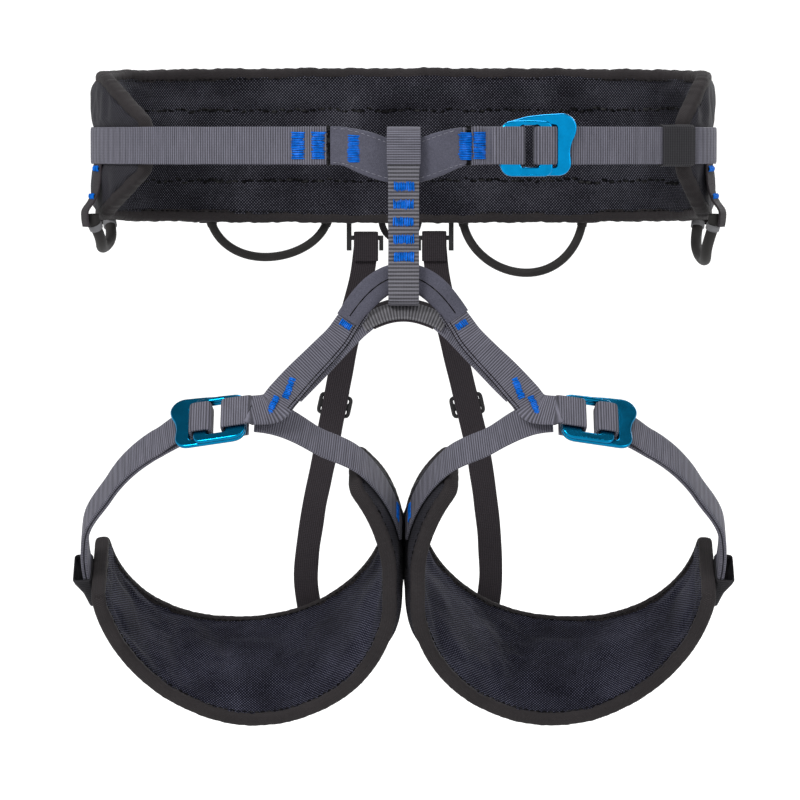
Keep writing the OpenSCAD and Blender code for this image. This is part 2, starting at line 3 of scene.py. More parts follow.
import bmesh
import bpy
import numpy as np
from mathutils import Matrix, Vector


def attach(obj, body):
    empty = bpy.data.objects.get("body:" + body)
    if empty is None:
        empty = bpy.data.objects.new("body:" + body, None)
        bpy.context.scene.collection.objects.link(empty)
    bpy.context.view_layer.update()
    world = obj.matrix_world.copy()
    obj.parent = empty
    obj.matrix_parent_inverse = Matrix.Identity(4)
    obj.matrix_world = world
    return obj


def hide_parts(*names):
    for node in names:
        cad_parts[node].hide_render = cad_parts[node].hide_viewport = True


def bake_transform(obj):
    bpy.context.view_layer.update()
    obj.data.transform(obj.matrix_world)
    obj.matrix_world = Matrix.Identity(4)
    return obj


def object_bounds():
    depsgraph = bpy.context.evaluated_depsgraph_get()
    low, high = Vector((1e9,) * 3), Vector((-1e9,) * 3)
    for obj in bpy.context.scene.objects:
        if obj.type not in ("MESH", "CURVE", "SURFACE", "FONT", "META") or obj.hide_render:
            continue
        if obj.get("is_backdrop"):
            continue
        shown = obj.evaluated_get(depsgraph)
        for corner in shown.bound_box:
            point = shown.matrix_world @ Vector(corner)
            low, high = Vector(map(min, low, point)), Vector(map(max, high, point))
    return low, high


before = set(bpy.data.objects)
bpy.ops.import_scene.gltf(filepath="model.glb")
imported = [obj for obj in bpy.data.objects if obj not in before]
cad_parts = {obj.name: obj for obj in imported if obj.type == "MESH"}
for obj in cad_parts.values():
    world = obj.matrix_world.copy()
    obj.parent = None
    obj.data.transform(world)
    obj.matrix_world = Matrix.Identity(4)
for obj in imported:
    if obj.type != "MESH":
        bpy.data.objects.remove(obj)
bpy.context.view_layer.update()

MM = 0.001
rng = np.random.default_rng(7)
X_AXIS = np.array([1.0, 0, 0])
BACK = np.array([0, 1.0, 0])
FORWARD = -BACK
UP = np.array([0, 0, 1.0])

# ---------------------------------------------------------------- driving sizes, millimetres
BELT_A, BELT_B, BELT_POWER = 165.0, 95.0, 2.3
WEB_W, WEB_T = 20.0, 1.8
WEB_IN = 4.8                      # inner face of the waist webbing, from the belt's middle surface
WEB_MID = WEB_IN + WEB_T / 2
LAYER = WEB_T + 0.2               # from one layer of webbing to the next
BUCKLE_X = 69.0
RIGHT_TIP_X, LEFT_TIP_X = 149.0, 136.0
DIP, DIP_REACH = 9.0, 36.0
BELAY_Y = -(BELT_B + WEB_MID)
BACK_SHIFT = -2.0
LEG_A, LEG_B, LEG_TILT = 80.0, 91.0, 52.0
LEG_C = np.array([LEG_A + 6.0, -48.0, -219.0])
LEG_WEB_W = 19.0
LEG_BUCKLE_PHI = 191.5            # degrees


# ---------------------------------------------------------------- small maths
def spow(v, p):
    return np.sign(v) * np.abs(v) ** p


def unit(v):
    v = np.asarray(v, float)
    return v / np.linalg.norm(v, axis=-1, keepdims=True)


def smooth(k):
    k = np.clip(k, 0.0, 1.0)
    return k * k * (3 - 2 * k)


def mix(a, b, k):
    return np.asarray(a, float) * (1 - k) + np.asarray(b, float) * k


def deg(a):
    return np.radians(a)


def catmull(points, per):
    """Smooth curve through given points, per samples to a span."""
    p = np.asarray(points, float)
    q = np.vstack([2 * p[0] - p[1], p, 2 * p[-1] - p[-2]])
    out = []
    for i in range(len(p) - 1):
        a, b, c, d = q[i:i + 4]
        for f in np.arange(per) / per:
            out.append(0.5 * (2 * b + (c - a) * f + (2 * a - 5 * b + 4 * c - d) * f * f
                              + (3 * b - a - 3 * c + d) * f ** 3))
    out.append(p[-1])
    return np.array(out)


def averaged(p, reach):
    """Closed route whose points are each the mean of their neighbours up to reach away."""
    return sum(np.roll(p, k, axis=0) for k in range(-reach, reach + 1)) / (2 * reach + 1)


def lengths(p):
    """Distance along a polyline to each of its points."""
    return np.concatenate([[0.0], np.cumsum(np.linalg.norm(np.diff(p, axis=0), axis=1))])


def resample(p, step, *others):
    """Evenly spaced copy of a dense polyline, and of other arrays that go with its points."""
    s = lengths(p)
    n = max(2, int(round(s[-1] / step)) + 1)
    at = np.linspace(0, s[-1], n)
    def along(a):
        a = np.asarray(a, float)
        if a.ndim == 1:
            return np.interp(at, s, a)
        return np.stack([np.interp(at, s, a[:, i]) for i in range(a.shape[1])], axis=1)
    return [along(p)] + [along(a) for a in others] + [at]


# ---------------------------------------------------------------- the belt and the leg ring
def oval(t):
    return np.stack([BELT_A * spow(np.cos(t), 2 / BELT_POWER),
                     BELT_B * spow(np.sin(t), 2 / BELT_POWER)], axis=-1)


def oval_normal(t):
    e = 2 - 2 / BELT_POWER
    return unit(np.stack([spow(np.cos(t), e) / BELT_A, spow(np.sin(t), e) / BELT_B], axis=-1))


def belt_axes(t):
    """The directions along the belt and out of it at one angle."""
    out = np.append(oval_normal(t), 0.0)
    return np.array([-out[1], out[0], 0.0]), out


def on_belt(t, z, d):
    """Points at angle t round the belt, at height z and d out from its middle surface."""
    t = np.asarray(t, float)
    p, n = oval(t), oval_normal(t)
    z, d = np.broadcast_to(z, t.shape), np.broadcast_to(d, t.shape)
    return np.stack([p[..., 0] + d * n[..., 0], p[..., 1] + d * n[..., 1], z], axis=-1)


def front_t(x):
    """Angle round the belt of a place on its front half."""
    return 2 * np.pi - np.arccos(spow(np.asarray(x, float) / BELT_A, BELT_POWER / 2))


def dip_z(t):
    """How far the waist webbing dips round the belay loop."""
    x = np.abs(oval(t)[..., 0])
    front = np.sin(t) < 0
    return np.where(front & (x < DIP_REACH), -DIP * (1 + np.cos(np.pi * x / DIP_REACH)) / 2, 0.0)


RING_U = np.array([0.0, math.cos(deg(LEG_TILT)), -math.sin(deg(LEG_TILT))])


def ring_mid(phi):
    phi = np.asarray(phi, float)[..., None]
    return LEG_C + LEG_A * np.sin(phi) * np.array([-1.0, 0, 0]) + LEG_B * np.cos(phi) * RING_U


def ring_tan(phi):
    phi = np.asarray(phi, float)[..., None]
    return unit(LEG_A * np.cos(phi) * np.array([-1.0, 0, 0]) - LEG_B * np.sin(phi) * RING_U)


def ring_across(phi):
    phi = np.asarray(phi, float)
    lift = deg(90 - LEG_TILT + 9 * smooth((-np.cos(phi) - 0.2) / 0.7))
    return np.stack([np.zeros_like(lift), np.cos(lift), np.sin(lift)], axis=-1)


def ring_out(phi):
    return unit(np.cross(ring_tan(phi), ring_across(phi)))


def on_ring(phi, v, w):
    """Points at angle phi round the right leg loop, v across its pad and w out from its middle surface."""
    phi = np.asarray(phi, float)
    v, w = np.broadcast_to(v, phi.shape)[..., None], np.broadcast_to(w, phi.shape)[..., None]
    return ring_mid(phi) + ring_across(phi) * v + ring_out(phi) * w


# ---------------------------------------------------------------- meshes
MIRROR = (-1.0, 1.0, 1.0)
STITCH_SIDES = 5


def make_object(name, verts, faces, uvs=None, mirror=False):
    """A smooth mesh object. Vertices and UVs are in millimetres, and UVs are given per vertex. mirror=True
    turns a right leg's piece into a left one."""
    verts = np.asarray(verts, float)
    if mirror:
        verts, faces = verts * MIRROR, [face[::-1] for face in faces]
    mesh = bpy.data.meshes.new(name)
    mesh.from_pydata((verts * MM).tolist(), [], faces)
    if uvs is not None:
        layer = mesh.uv_layers.new(name="UVMap")
        index = np.empty(len(mesh.loops), int)
        mesh.loops.foreach_get("vertex_index", index)
        layer.data.foreach_set("uv", (np.asarray(uvs, float) * MM)[index].ravel())
    mesh.validate()
    mesh.polygons.foreach_set("use_smooth", [True] * len(mesh.polygons))
    obj = bpy.data.objects.new(name, mesh)
    bpy.context.scene.collection.objects.link(obj)
    return obj


def grid_faces(n, m, closed=False, first=0):
    """Quads between n rings of m points. closed=True also joins the last ring to the first."""
    i = np.arange(n if closed else n - 1)[:, None]
    j = np.arange(m)[None, :]
    i2, j2 = (i + 1) % n, (j + 1) % m
    quads = np.stack([i * m + j, i * m + j2, i2 * m + j2, i2 * m + j], axis=-1)
    return (quads.reshape(-1, 4) + first).tolist()


class Soup:
    """Collects many small shapes that become one object."""

    def __init__(self):
        self.verts, self.faces, self.uvs = [], [], []

    def grid(self, points, us, vs, closed=False):
        """A skin over rings of points, with a cap at each end unless it is closed."""
        n, m = points.shape[:2]
        first = sum(len(v) for v in self.verts)
        self.verts.append(points.reshape(-1, 3))
        self.uvs.append(np.stack(np.broadcast_arrays(us, vs), axis=-1).reshape(-1, 2))
        self.faces += grid_faces(n, m, closed, first)
        if not closed:
            self.faces.append([first + j for j in range(m)][::-1])
            self.faces.append([first + (n - 1) * m + j for j in range(m)])

    def tube(self, path, radius, up, sides=STITCH_SIDES):
        """Round cord along path."""
        path = np.asarray(path, float)
        tan = unit(np.gradient(path, axis=0))
        side = unit(np.cross(tan, np.broadcast_to(up, tan.shape)))
        high = np.cross(side, tan)
        angles = np.arange(sides) * 2 * np.pi / sides
        radius = np.broadcast_to(radius, (len(path),))[:, None, None]
        ring = radius * (np.cos(angles)[None, :, None] * side[:, None, :]
                         + np.sin(angles)[None, :, None] * high[:, None, :])
        self.grid(path[:, None, :] + ring, lengths(path)[:, None], angles[None, :] * radius[..., 0])

    def stitch(self, a, b, normal, radius=0.2, rise=0.3):
        """One stitch: a short thread that comes out at a, bows over the fabric and goes in at b."""
        k = np.linspace(0, 1, 5)[:, None]
        self.tube(mix(a, b, k) + np.asarray(normal) * (np.sin(np.pi * k) * 2 * rise - rise), radius, normal)

    def tack(self, origin, u, v, n, width, height, pitch=0.86, radius=0.40):
        """Bar tack: threads that run along v, packed side by side along u, over a low ridge."""
        count = int(width / pitch)
        for i in range(count):
            off = (i + 0.5) / count - 0.5
            lean = rng.normal(0, 0.012) * height
            long = height * (0.5 + rng.normal(0, 0.04))
            centre = origin + u * (off * width + rng.normal(0, 0.06)) + v * rng.normal(0, 0.14)
            a, b = centre - v * long - u * lean, centre + v * long + u * lean
            k = np.linspace(0, 1, 7)[:, None]
            bow = np.sin(np.pi * k) ** 0.5 * (0.75 + rng.normal(0, 0.07))
            self.tube(mix(a, b, k) + n * (bow - 0.15), radius, n)

    def make(self, name, mirror=False):
        """One object from everything collected."""
        return make_object(name, np.concatenate(self.verts), self.faces, np.concatenate(self.uvs), mirror)


def band_profile(width, thick, points=28, power=0.28):
    """Closed outline of a webbing strap's section: flat faces and round edges."""
    a = (np.arange(points) + 0.5) * 2 * np.pi / points
    return np.stack([width / 2 * spow(np.cos(a), power), thick / 2 * spow(np.sin(a), power * 1.6)], axis=-1)


def gentle(s, size, seed):
    """Slow irregular wave along a strap, so that it doesn't look machined."""
    waves = np.random.default_rng(seed)
    out = np.zeros_like(s)
    for length in (23.0, 41.0, 77.0):
        out += np.sin(2 * np.pi * (s / length + waves.random())) * size / 2
    return out


def strap_into(soup, points, across, width, thick=WEB_T, per=8, step=0.42, rib=0.07, pitch=1.7,
               wobble=0.12, seed=1, power=0.28):
    """A webbing strap along given points, with its width direction at each of them."""
    n = len(points)
    across = np.broadcast_to(across, (n, 3)) if np.ndim(across) == 1 else np.asarray(across, float)
    width = np.broadcast_to(width, (n,)).astype(float)
    path, side, wide, s = resample(catmull(points, per), step, catmull(across, per),
                                   catmull(np.stack([width] * 2, axis=1), per)[:, 0])
    tan = unit(np.gradient(path, axis=0))
    normal = unit(np.cross(tan, side))
    ends = smooth(s / 12) * smooth((s[-1] - s) / 12)
    roll = gentle(s, 0.02 * wobble / 0.12, seed + 5) * ends
    side = np.cross(normal, tan)
    side, normal = (side * np.cos(roll)[:, None] + normal * np.sin(roll)[:, None],
                    normal * np.cos(roll)[:, None] - side * np.sin(roll)[:, None])
    path = path + normal * (gentle(s, wobble, seed) * ends)[:, None]
    outline = band_profile(1.0, thick, power=power)
    sx = outline[None, :, 0] * (wide + gentle(s, 0.12, seed + 9))[:, None]
    ridge = rib * np.sin(2 * np.pi * s / pitch)[:, None] * np.sign(outline[None, :, 1])
    sy = outline[None, :, 1] + ridge * smooth((0.5 - np.abs(outline[None, :, 0])) / 0.04)
    grid = path[:, None, :] + side[:, None, :] * sx[..., None] + normal[:, None, :] * sy[..., None]
    soup.grid(grid, s[:, None], sx)
    return path, side, normal, s


def strap(name, points, across, width, mirror=False, **options):
    soup = Soup()
    strap_into(soup, points, across, width, **options)
    return soup.make(name, mirror)


# ---------------------------------------------------------------- materials
class Field:
    """A value in a material. The signs +, - and * each add a node, so that a pattern reads as arithmetic."""

    def __init__(self, tree, socket):
        self.tree, self.socket = tree, socket

    def plug(self, socket):
        self.tree.links.new(self.socket, socket)

    def math(self, operation, other=0.0):
        made = self.tree.nodes.new("ShaderNodeMath")
        made.operation = operation
        self.plug(made.inputs[0])
        put(made.inputs[1], other)
        return Field(self.tree, made.outputs[0])

    def __add__(self, other):
        return self.math("ADD", other)

    def __sub__(self, other):
        return self.math("SUBTRACT", other)

    def __mul__(self, other):
        return self.math("MULTIPLY", other)


def put(socket, value):
    """Links a field to a socket, or sets the socket to a plain value."""
    if isinstance(value, Field):
        value.plug(socket)
    else:
        socket.default_value = value


class Shader:
    """One procedural material. Numbers that don't vary are set on the shader's own sockets."""

    def __init__(self, name, **sockets):
        self.material = bpy.data.materials.new(name)
        self.material.use_nodes = True
        self.tree = self.material.node_tree
        self.bsdf = self.tree.nodes["Principled BSDF"]
        for socket, value in sockets.items():
            self.bsdf.inputs[socket.replace("_", " ")].default_value = value
        self.place = self.node("ShaderNodeTexCoord", "Object")

    def node(self, kind, output, inputs=(), **settings):
        made = self.tree.nodes.new(kind)
        for key, value in settings.items():
            setattr(made, key, value)
        for key, value in dict(inputs).items():
            put(made.inputs[key], value)
        return Field(self.tree, made.outputs[output])

    def uv(self):
        split = self.node("ShaderNodeSeparateXYZ", "X", {"Vector": self.node("ShaderNodeTexCoord", "UV")})
        return split, Field(self.tree, split.socket.node.outputs["Y"])

    def noise(self, scale, detail=3.0, roughness=0.55, vector=None):
        return self.node("ShaderNodeTexNoise", "Fac", {"Vector": vector or self.place, "Scale": scale,
                                                       "Detail": detail, "Roughness": roughness})

    def wave(self, coordinate, pitch):
        """0 to 1 sine along a coordinate in metres, pitch in millimetres."""
        return (coordinate * (2 * math.pi / (pitch * MM))).math("SINE") * 0.5 + 0.5

    def ramp(self, factor, *stops):
        colour = self.node("ShaderNodeValToRGB", "Color", {"Fac": factor})
        elements = colour.socket.node.color_ramp.elements
        while len(elements) < len(stops):
            elements.new(0.5)
        for element, (at, shade) in zip(elements, stops):
            element.position = at
            element.color = (*shade, 1.0)
        return colour

    def tinted(self, factor, colour, tint):
        """A colour that is multiplied by a tint as far as the factor says."""
        return self.node("ShaderNodeMix", 2, {0: factor, 6: colour, 7: (*tint, 1.0)}, data_type="RGBA",
                         blend_type="MULTIPLY")

    def finish(self, colour, height, strength, distance, roughness):
        bump = self.node("ShaderNodeBump", "Normal", {"Height": height, "Strength": strength,
                                                      "Distance": distance * MM})
        for key, value in (("Base Color", colour), ("Roughness", roughness), ("Normal", bump)):
            put(self.bsdf.inputs[key], value)
        return self.material


def scaled(colour, k):
    return tuple(c * k for c in colour)


def webbing_material(name, colour, pitch=1.3, contrast=0.62):
    """Ribbed nylon webbing: cross ribs, fine lengthwise yarns, streaks where the weave is uneven."""
    m = Shader(name, Sheen_Weight=0.02, Sheen_Roughness=0.45, Specular_IOR_Level=0.12)
    u, v = m.uv()
    rib, yarn = m.wave(u, pitch), m.wave(v, 0.85)
    stretched = m.node("ShaderNodeCombineXYZ", 0, {"X": u * 620.0, "Y": v * 70.0})
    streak = m.noise(1.0, vector=stretched)
    cloud, fuzz = m.noise(22.0, 4.0), m.noise(1900.0, 2.0)
    level = (rib * 0.84 + yarn * 0.16) * contrast + streak * 0.3 + fuzz * 0.25
    base = m.ramp(level, (0.2, scaled(colour, 0.25)), (0.56, colour), (0.95, scaled(colour, 2.0)))
    base = m.tinted(cloud, base, (1.22, 1.18, 1.14))
    return m.finish(base, rib + yarn * 0.5 + fuzz * 0.5, 0.55, 0.22, fuzz * 0.25 + 0.55)


def elastic_material(name, colour):
    """Elastic band: close lengthwise cords crossed by fine picks."""
    m = Shader(name, Sheen_Weight=0.01, Sheen_Roughness=0.5, Specular_IOR_Level=0.1)
    u, v = m.uv()
    height = m.wave(v, 1.15) + m.wave(u, 0.9) * 0.5
    fuzz = m.noise(1500.0, 2.0)
    base = m.ramp(height * 0.4 + fuzz * 0.4, (0.2, scaled(colour, 0.5)), (0.8, scaled(colour, 1.5)))
    return m.finish(base, height, 0.5, 0.2, fuzz * 0.2 + 0.62)


def mesh_material(name, dark, light, pitch=1.75):
    """Spacer mesh lining: a slanting lattice of small eyelets with lighter knots between them."""
    m = Shader(name, Sheen_Weight=0.01, Sheen_Roughness=0.5, Specular_IOR_Level=0.05)
    u, v = m.uv()
    lattice = m.wave(u + v, pitch) * m.wave(u - v, pitch)
    ribs = m.wave(v, pitch / 2)
    fuzz, cloud = m.noise(900.0), m.noise(30.0)
    level = lattice * 0.5 + fuzz * 0.45 + cloud * 0.5 + ribs * 0.10
    base = m.ramp(level, (0.44, dark), (0.70, scaled(dark, 4.0)), (1.05, light))
    return m.finish(base, lattice + ribs * 0.25 - fuzz * 0.3, 0.9, 0.4, fuzz * 0.2 + 0.6)


def cloth_material(name, colour, pitch, strength):
    """Plain woven cloth: warp and weft under and over each other, with slubs."""
    m = Shader(name, Sheen_Weight=0.01, Sheen_Roughness=0.5, Specular_IOR_Level=0.1)
    u, v = m.uv()
    weave = (m.wave(u, pitch) - m.wave(v, pitch)).math("ABSOLUTE")
    fuzz, cloud = m.noise(1300.0, 2.0), m.noise(35.0, 4.0)
    level = weave * 0.4 + fuzz * 0.35 + cloud * 0.3
    base = m.ramp(level, (0.22, scaled(colour, 0.35)), (0.55, colour), (0.9, scaled(colour, 2.1)))
    return m.finish(base, weave, strength, 0.15, fuzz * 0.2 + 0.62)


def thread_material(name, colour):
    m = Shader(name, Specular_IOR_Level=0.04)
    fuzz, twist = m.noise(1600.0, 2.0), m.noise(320.0)
    light = tuple(min(1, c * 1.3 + 0.03) for c in colour)
    base = m.ramp(twist, (0.3, scaled(colour, 0.6)), (0.5, colour), (0.75, light))
    return m.finish(base, fuzz, 0.3, 0.08, fuzz * 0.2 + 0.38)


def anodised_material(name, colour):
    """Anodised aluminium: coloured metal with a fine satin grain and faint handling marks."""
    m = Shader(name, Metallic=1.0, Coat_Weight=0.03, Coat_Roughness=0.1)
    marks = m.noise(90.0, 5.0, 0.7)
    base = m.ramp(marks, (0.3, scaled(colour, 0.82)), (0.7, scaled(colour, 1.12)))
    return m.finish(base, m.noise(2600.0, 2.0), 0.08, 0.03, marks * 0.14 + 0.14)


def plastic_material(name, colour, shine=0.38):
    m = Shader(name, Specular_IOR_Level=0.2)
    wear = m.noise(60.0, 4.0)
    base = m.ramp(wear, (0.3, scaled(colour, 0.8)), (0.75, scaled(colour, 1.6)))
    return m.finish(base, m.noise(1800.0, 2.0), 0.2, 0.06, wear * 0.2 + shine)


MATERIALS = {
    "webbing": webbing_material("grey_webbing", (0.062, 0.062, 0.079)),
    "belay_webbing": webbing_material("belay_webbing", (0.055, 0.055, 0.065), pitch=2.0, contrast=0.75),
    "bridge_webbing": webbing_material("bridge_webbing", (0.068, 0.068, 0.076), pitch=1.7, contrast=0.6),
    "sleeve": cloth_material("sleeve_cloth", (0.062, 0.062, 0.083), 0.6, 0.25),
    "lining": mesh_material("mesh_lining", (0.0018, 0.0018, 0.0030), (0.10, 0.10, 0.118)),
    "leg_lining": mesh_material("leg_mesh_lining", (0.0020, 0.0020, 0.0042), (0.095, 0.097, 0.132)),
    "shell": cloth_material("shell_cloth", (0.017, 0.0165, 0.021), 1.7, 0.8),
    "binding": cloth_material("binding_tape", (0.019, 0.0165, 0.0175), 0.8, 0.6),
    "elastic": elastic_material("elastic_band", (0.018, 0.015, 0.0175)),
    "keeper": elastic_material("keeper_band", (0.019, 0.0185, 0.021)),
    "thread": thread_material("blue_thread", (0.0004, 0.10, 0.46)),
    "dark_thread": thread_material("dark_thread", (0.003, 0.003, 0.0035)),
    "grey_thread": thread_material("grey_thread", (0.15, 0.15, 0.18)),
    "waist_buckle": anodised_material("waist_anodised", (0.0005, 0.21, 0.47)),
    "leg_buckle": anodised_material("leg_anodised", (0.0005, 0.155, 0.31)),
    "plastic": plastic_material("black_plastic", (0.009, 0.0085, 0.0095)),
    "tube": plastic_material("loop_tube", (0.012, 0.011, 0.0108), shine=0.6),
    "collar": plastic_material("pale_collar", (0.09, 0.09, 0.095), shine=0.4),
    "cord": elastic_material("cord_cover", (0.016, 0.014, 0.016)),
}


def dress(obj, body, material, *nodes, slot=None, bend=None):
    """Gives a piece its material and hides the CAD nodes that it stands for; slot is not used. Without bend
    it is attached to its body. With bend it is attached to no body; bend's points, in millimetres, are
    unused."""
    obj.data.materials.append(MATERIALS[material])
    if bend:
        start, end = ((x * MM, y * MM, z * MM) for x, y, z in bend)
        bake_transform(obj)
    else:
        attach(obj, body)
    if nodes:
        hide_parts(*nodes)


def on_side(side, points):
    """Points that are given for the right side, mirrored for the left one."""
    return [(-x if side == "left" else x, y, z) for x, y, z in points]


# ---------------------------------------------------------------- buckle frames
class Frame:
    """Local axes: u along the strap, v across it, w away from the body, in millimetres."""

    def __init__(self, origin, v, w):
        self.o, self.v, self.w = (np.asarray(a, float) for a in (origin, v, w))
        self.u = np.cross(self.v, self.w)

    def at(self, u, v, w):
        u, v, w = (np.asarray(a, float)[..., None] for a in (u, v, w))
        return self.o + u * self.u + v * self.v + w * self.w

    def route(self, pairs):
        return [self.at(u, 0.0, w) for u, w in pairs]


BUCKLE_T = front_t(BUCKLE_X)
BUCKLE_N = np.append(oval_normal(BUCKLE_T), 0.0)
BUCKLE_PHI = deg(LEG_BUCKLE_PHI)
WAIST_FRAME = Frame(on_belt(BUCKLE_T, 0.0, WEB_IN), UP, BUCKLE_N)
LEG_FRAME = Frame(on_ring(BUCKLE_PHI, 0.0, 0.0), ring_across(BUCKLE_PHI), ring_out(BUCKLE_PHI))

# heights above the body, and places along the strap, of what is threaded through a buckle
PLATE_T = 2.4
FRAME_W, SLIDER_W, OVER_W = 4.0, 6.6, 10.1
UNDER_W, TAIL_W = 0.9, 2.9
FOLD_U, TURN_U, RISE_U = -8.6, -1.6, 8.7
FOLD_PATH = [(-14, 0.9), (FOLD_U - 1.6, 1.0), (FOLD_U - 0.5, 1.5), (FOLD_U, 2.7), (FOLD_U, OVER_W - 1.8),
             (FOLD_U - 0.5, OVER_W - 0.6), (FOLD_U - 1.6, OVER_W), (-18, OVER_W + 0.1), (-23.2, OVER_W),
             (-24.7, OVER_W - 1.2)]
TURN_PATH = [(TURN_U, 3.3), (TURN_U, OVER_W - 1.8), (TURN_U + 0.5, OVER_W - 0.6), (TURN_U + 1.6, OVER_W),
             (3.5, OVER_W + 0.1), (RISE_U - 1.6, OVER_W), (RISE_U - 0.5, OVER_W - 0.6),
             (RISE_U, OVER_W - 1.8), (RISE_U, TAIL_W + 2.2)]
FINISH_PATH = [(14, 0.9), (4, 0.9), (0, 0.95), (-1.2, 1.6)]
TAIL_PATH = [(8.9, 4.3), (9.5, 3.3), (10.7, TAIL_W), (18, TAIL_W)]


def arc(u, v, r, a, b, n=14):
    k = deg(np.linspace(a, b, n))
    return [(u + r * math.cos(x), v + r * math.sin(x)) for x in k]


def eased(outline, step=0.5, reach=3):
    """Closed outline with even spacing and eased corners."""
    p = np.array(list(outline) + [outline[0]], float)
    return averaged(resample(p, step)[0][:-1], reach)


def rounded_box(u1, v1, u2, v2, r):
    return arc(u1 + r, v1 + r, r, 180, 270) + arc(u2 - r, v1 + r, r, 270, 360) \
        + arc(u2 - r, v2 - r, r, 0, 90) + arc(u1 + r, v2 - r, r, 90, 180)


def plate(name, place, outline, windows, thick, low, edge=1.05, mirror=False):
    """A flat plate with rounded edges, cut by windows, whose lower face is at height low."""
    curve = bpy.data.curves.new(name, "CURVE")
    curve.dimensions = "2D"
    curve.fill_mode = "BOTH"
    for loop in [outline] + windows:
        spline = curve.splines.new("POLY")
        spline.points.add(len(loop) - 1)
        spline.points.foreach_set("co", [c for u, v in loop for c in (u, v, 0.0, 1.0)])
        spline.use_cyclic_u = True
    curve.extrude = thick / 2 - edge
    curve.bevel_depth = edge
    curve.bevel_resolution = 4
    curve.offset = -edge
    holder = bpy.data.objects.new(name + "_curve", curve)
    flat = bpy.data.meshes.new_from_object(holder)
    bpy.data.objects.remove(holder)
    p = np.array([v.co for v in flat.vertices])
    points = place(p[:, 0], p[:, 1], p[:, 2] + low + thick / 2)
    made = make_object(name, points, [list(f.vertices) for f in flat.polygons], mirror=mirror)
    work = bmesh.new()
    work.from_mesh(made.data)
    bmesh.ops.remove_doubles(work, verts=work.verts, dist=2e-6)
    bmesh.ops.recalc_face_normals(work, faces=work.faces)
    work.to_mesh(made.data)
    work.free()
    made.modifiers.new("even_normals", "WEIGHTED_NORMAL").keep_sharp = True
    return made


EAR_OUTLINE = (arc(-14, -9, 7, 180, 270) + arc(11, -9, 7, 270, 355) + [(17.3, -3), (18.2, 1.5), (20.2, 5.5)]
               + arc(13, 9, 8, 0, 95) + [(3, 16.4), (-6, 15.4)] + arc(-14, 6, 7, 95, 180))
RING_OUTLINE = (arc(-15, -10.3, 6, 180, 270) + arc(3.2, -12.3, 4, 270, 360) + arc(3.2, 9, 4, 0, 90)
                + [(-6, 13.4)] + arc(-15, 7, 6, 90, 180))


def buckle(kind, bodies, axes, material, mirror=False):
    """The two plates of a slide-block buckle."""
    for part, shape, outline, window_end, low, body in (
            ("_frame", "_ears", EAR_OUTLINE, 9.8, FRAME_W, bodies[0]),
            ("_slider", "_ring", RING_OUTLINE, -0.3, SLIDER_W, bodies[1])):
        node = kind + part
        made = plate(node + shape, axes.at, eased(outline), [rounded_box(-10, -11.3, window_end, 10.5, 1.2)],
                     PLATE_T, low, mirror=mirror)
        dress(made, body, material, node)


# ---------------------------------------------------------------- padded panels
SEWN_IN = 1.5                     # from a panel's edge to the first line of its pad
SOFT_EDGE = 11.0                  # how far from its edge a panel is still thinner than in its middle
QUILT_CELL, QUILT_ACROSS = 2.4, 35
CLOTH_FRAMES, CLOTH_CAP = 20, 2.6 * MM
CLOTH = {"quality": 6, "mass": 0.25, "tension_stiffness": 18, "compression_stiffness": 18,
         "shear_stiffness": 8, "bending_stiffness": 0.6, "vertex_group_mass": "sewn", "use_pressure": True,
         "uniform_pressure_force": 4.0, "shrink_min": -0.025}
ROW_PITCH, ROW_ROOM = 4.6, 16.0   # from stitch to stitch along a row, and from a row's end to the panel's
TAPE_PITCH, TAPE_STITCH = 3.6, 2.3


class Patch:
    """A padded panel on a curved surface: s runs along it, v across it and w outwards, in millimetres. Its
    rows are sewn on the body side, and a strap lies in its lane, which is given as a half width."""

    def __init__(self, place, first, last, half, inner, outer, rows, lane):
        self.place, self.half = place, half
        self.k = np.linspace(first, last, 1200)
        self.s = lengths(place(self.k, 0.0, 0.0))
        self.long = self.s[-1]
        self.inner, self.outer, self.mid = inner, outer, (inner + outer) / 2
        self.rows, self.lane = rows, lane

    def at(self, s, v, w):
        return self.place(np.interp(s, self.s, self.k), v, w)

    def half_at(self, s):
        return self.half(np.interp(s, self.s, self.k))

    def outline(self, inset):
        """Closed route of [s, v] round the panel, at a distance in from its edge, with eased corners."""
        along = np.arange(inset, self.long - inset, 1.0)
        high = self.half_at(along) - inset
        low_edge = np.stack([along, -high], axis=1)
        top_edge = np.stack([along, high], axis=1)[::-1]
        return averaged(resample(np.vstack([low_edge, top_edge, low_edge[:1]]), 0.9)[0][:-1], 5)

    def face_w(self, s, v, side):
        """Height of the face before it is filled: thin at the edge, with a groove at each sewn row."""
        edge = np.clip((self.half_at(s) - np.abs(v)) / SOFT_EDGE, 0, 1)
        ends = np.clip(np.minimum(s, self.long - s) / SOFT_EDGE, 0, 1)
        full = 0.33 + 0.67 * np.sqrt(1 - (1 - edge) ** 2) * np.sqrt(1 - (1 - ends) ** 2)
        groove = sum((np.exp(-((v - row) / 1.9) ** 2) for row in self.rows), np.zeros_like(v * s))
        groove = groove * (side < 0) * smooth(edge * 1.5)
        pucker = groove * (0.5 + 0.5 * np.sin(2 * np.pi * s / ROW_PITCH + np.sin(s / 9.0)))
        return self.mid + (self.outer - self.mid) * side * (full - groove * 0.42 + pucker * 0.16)


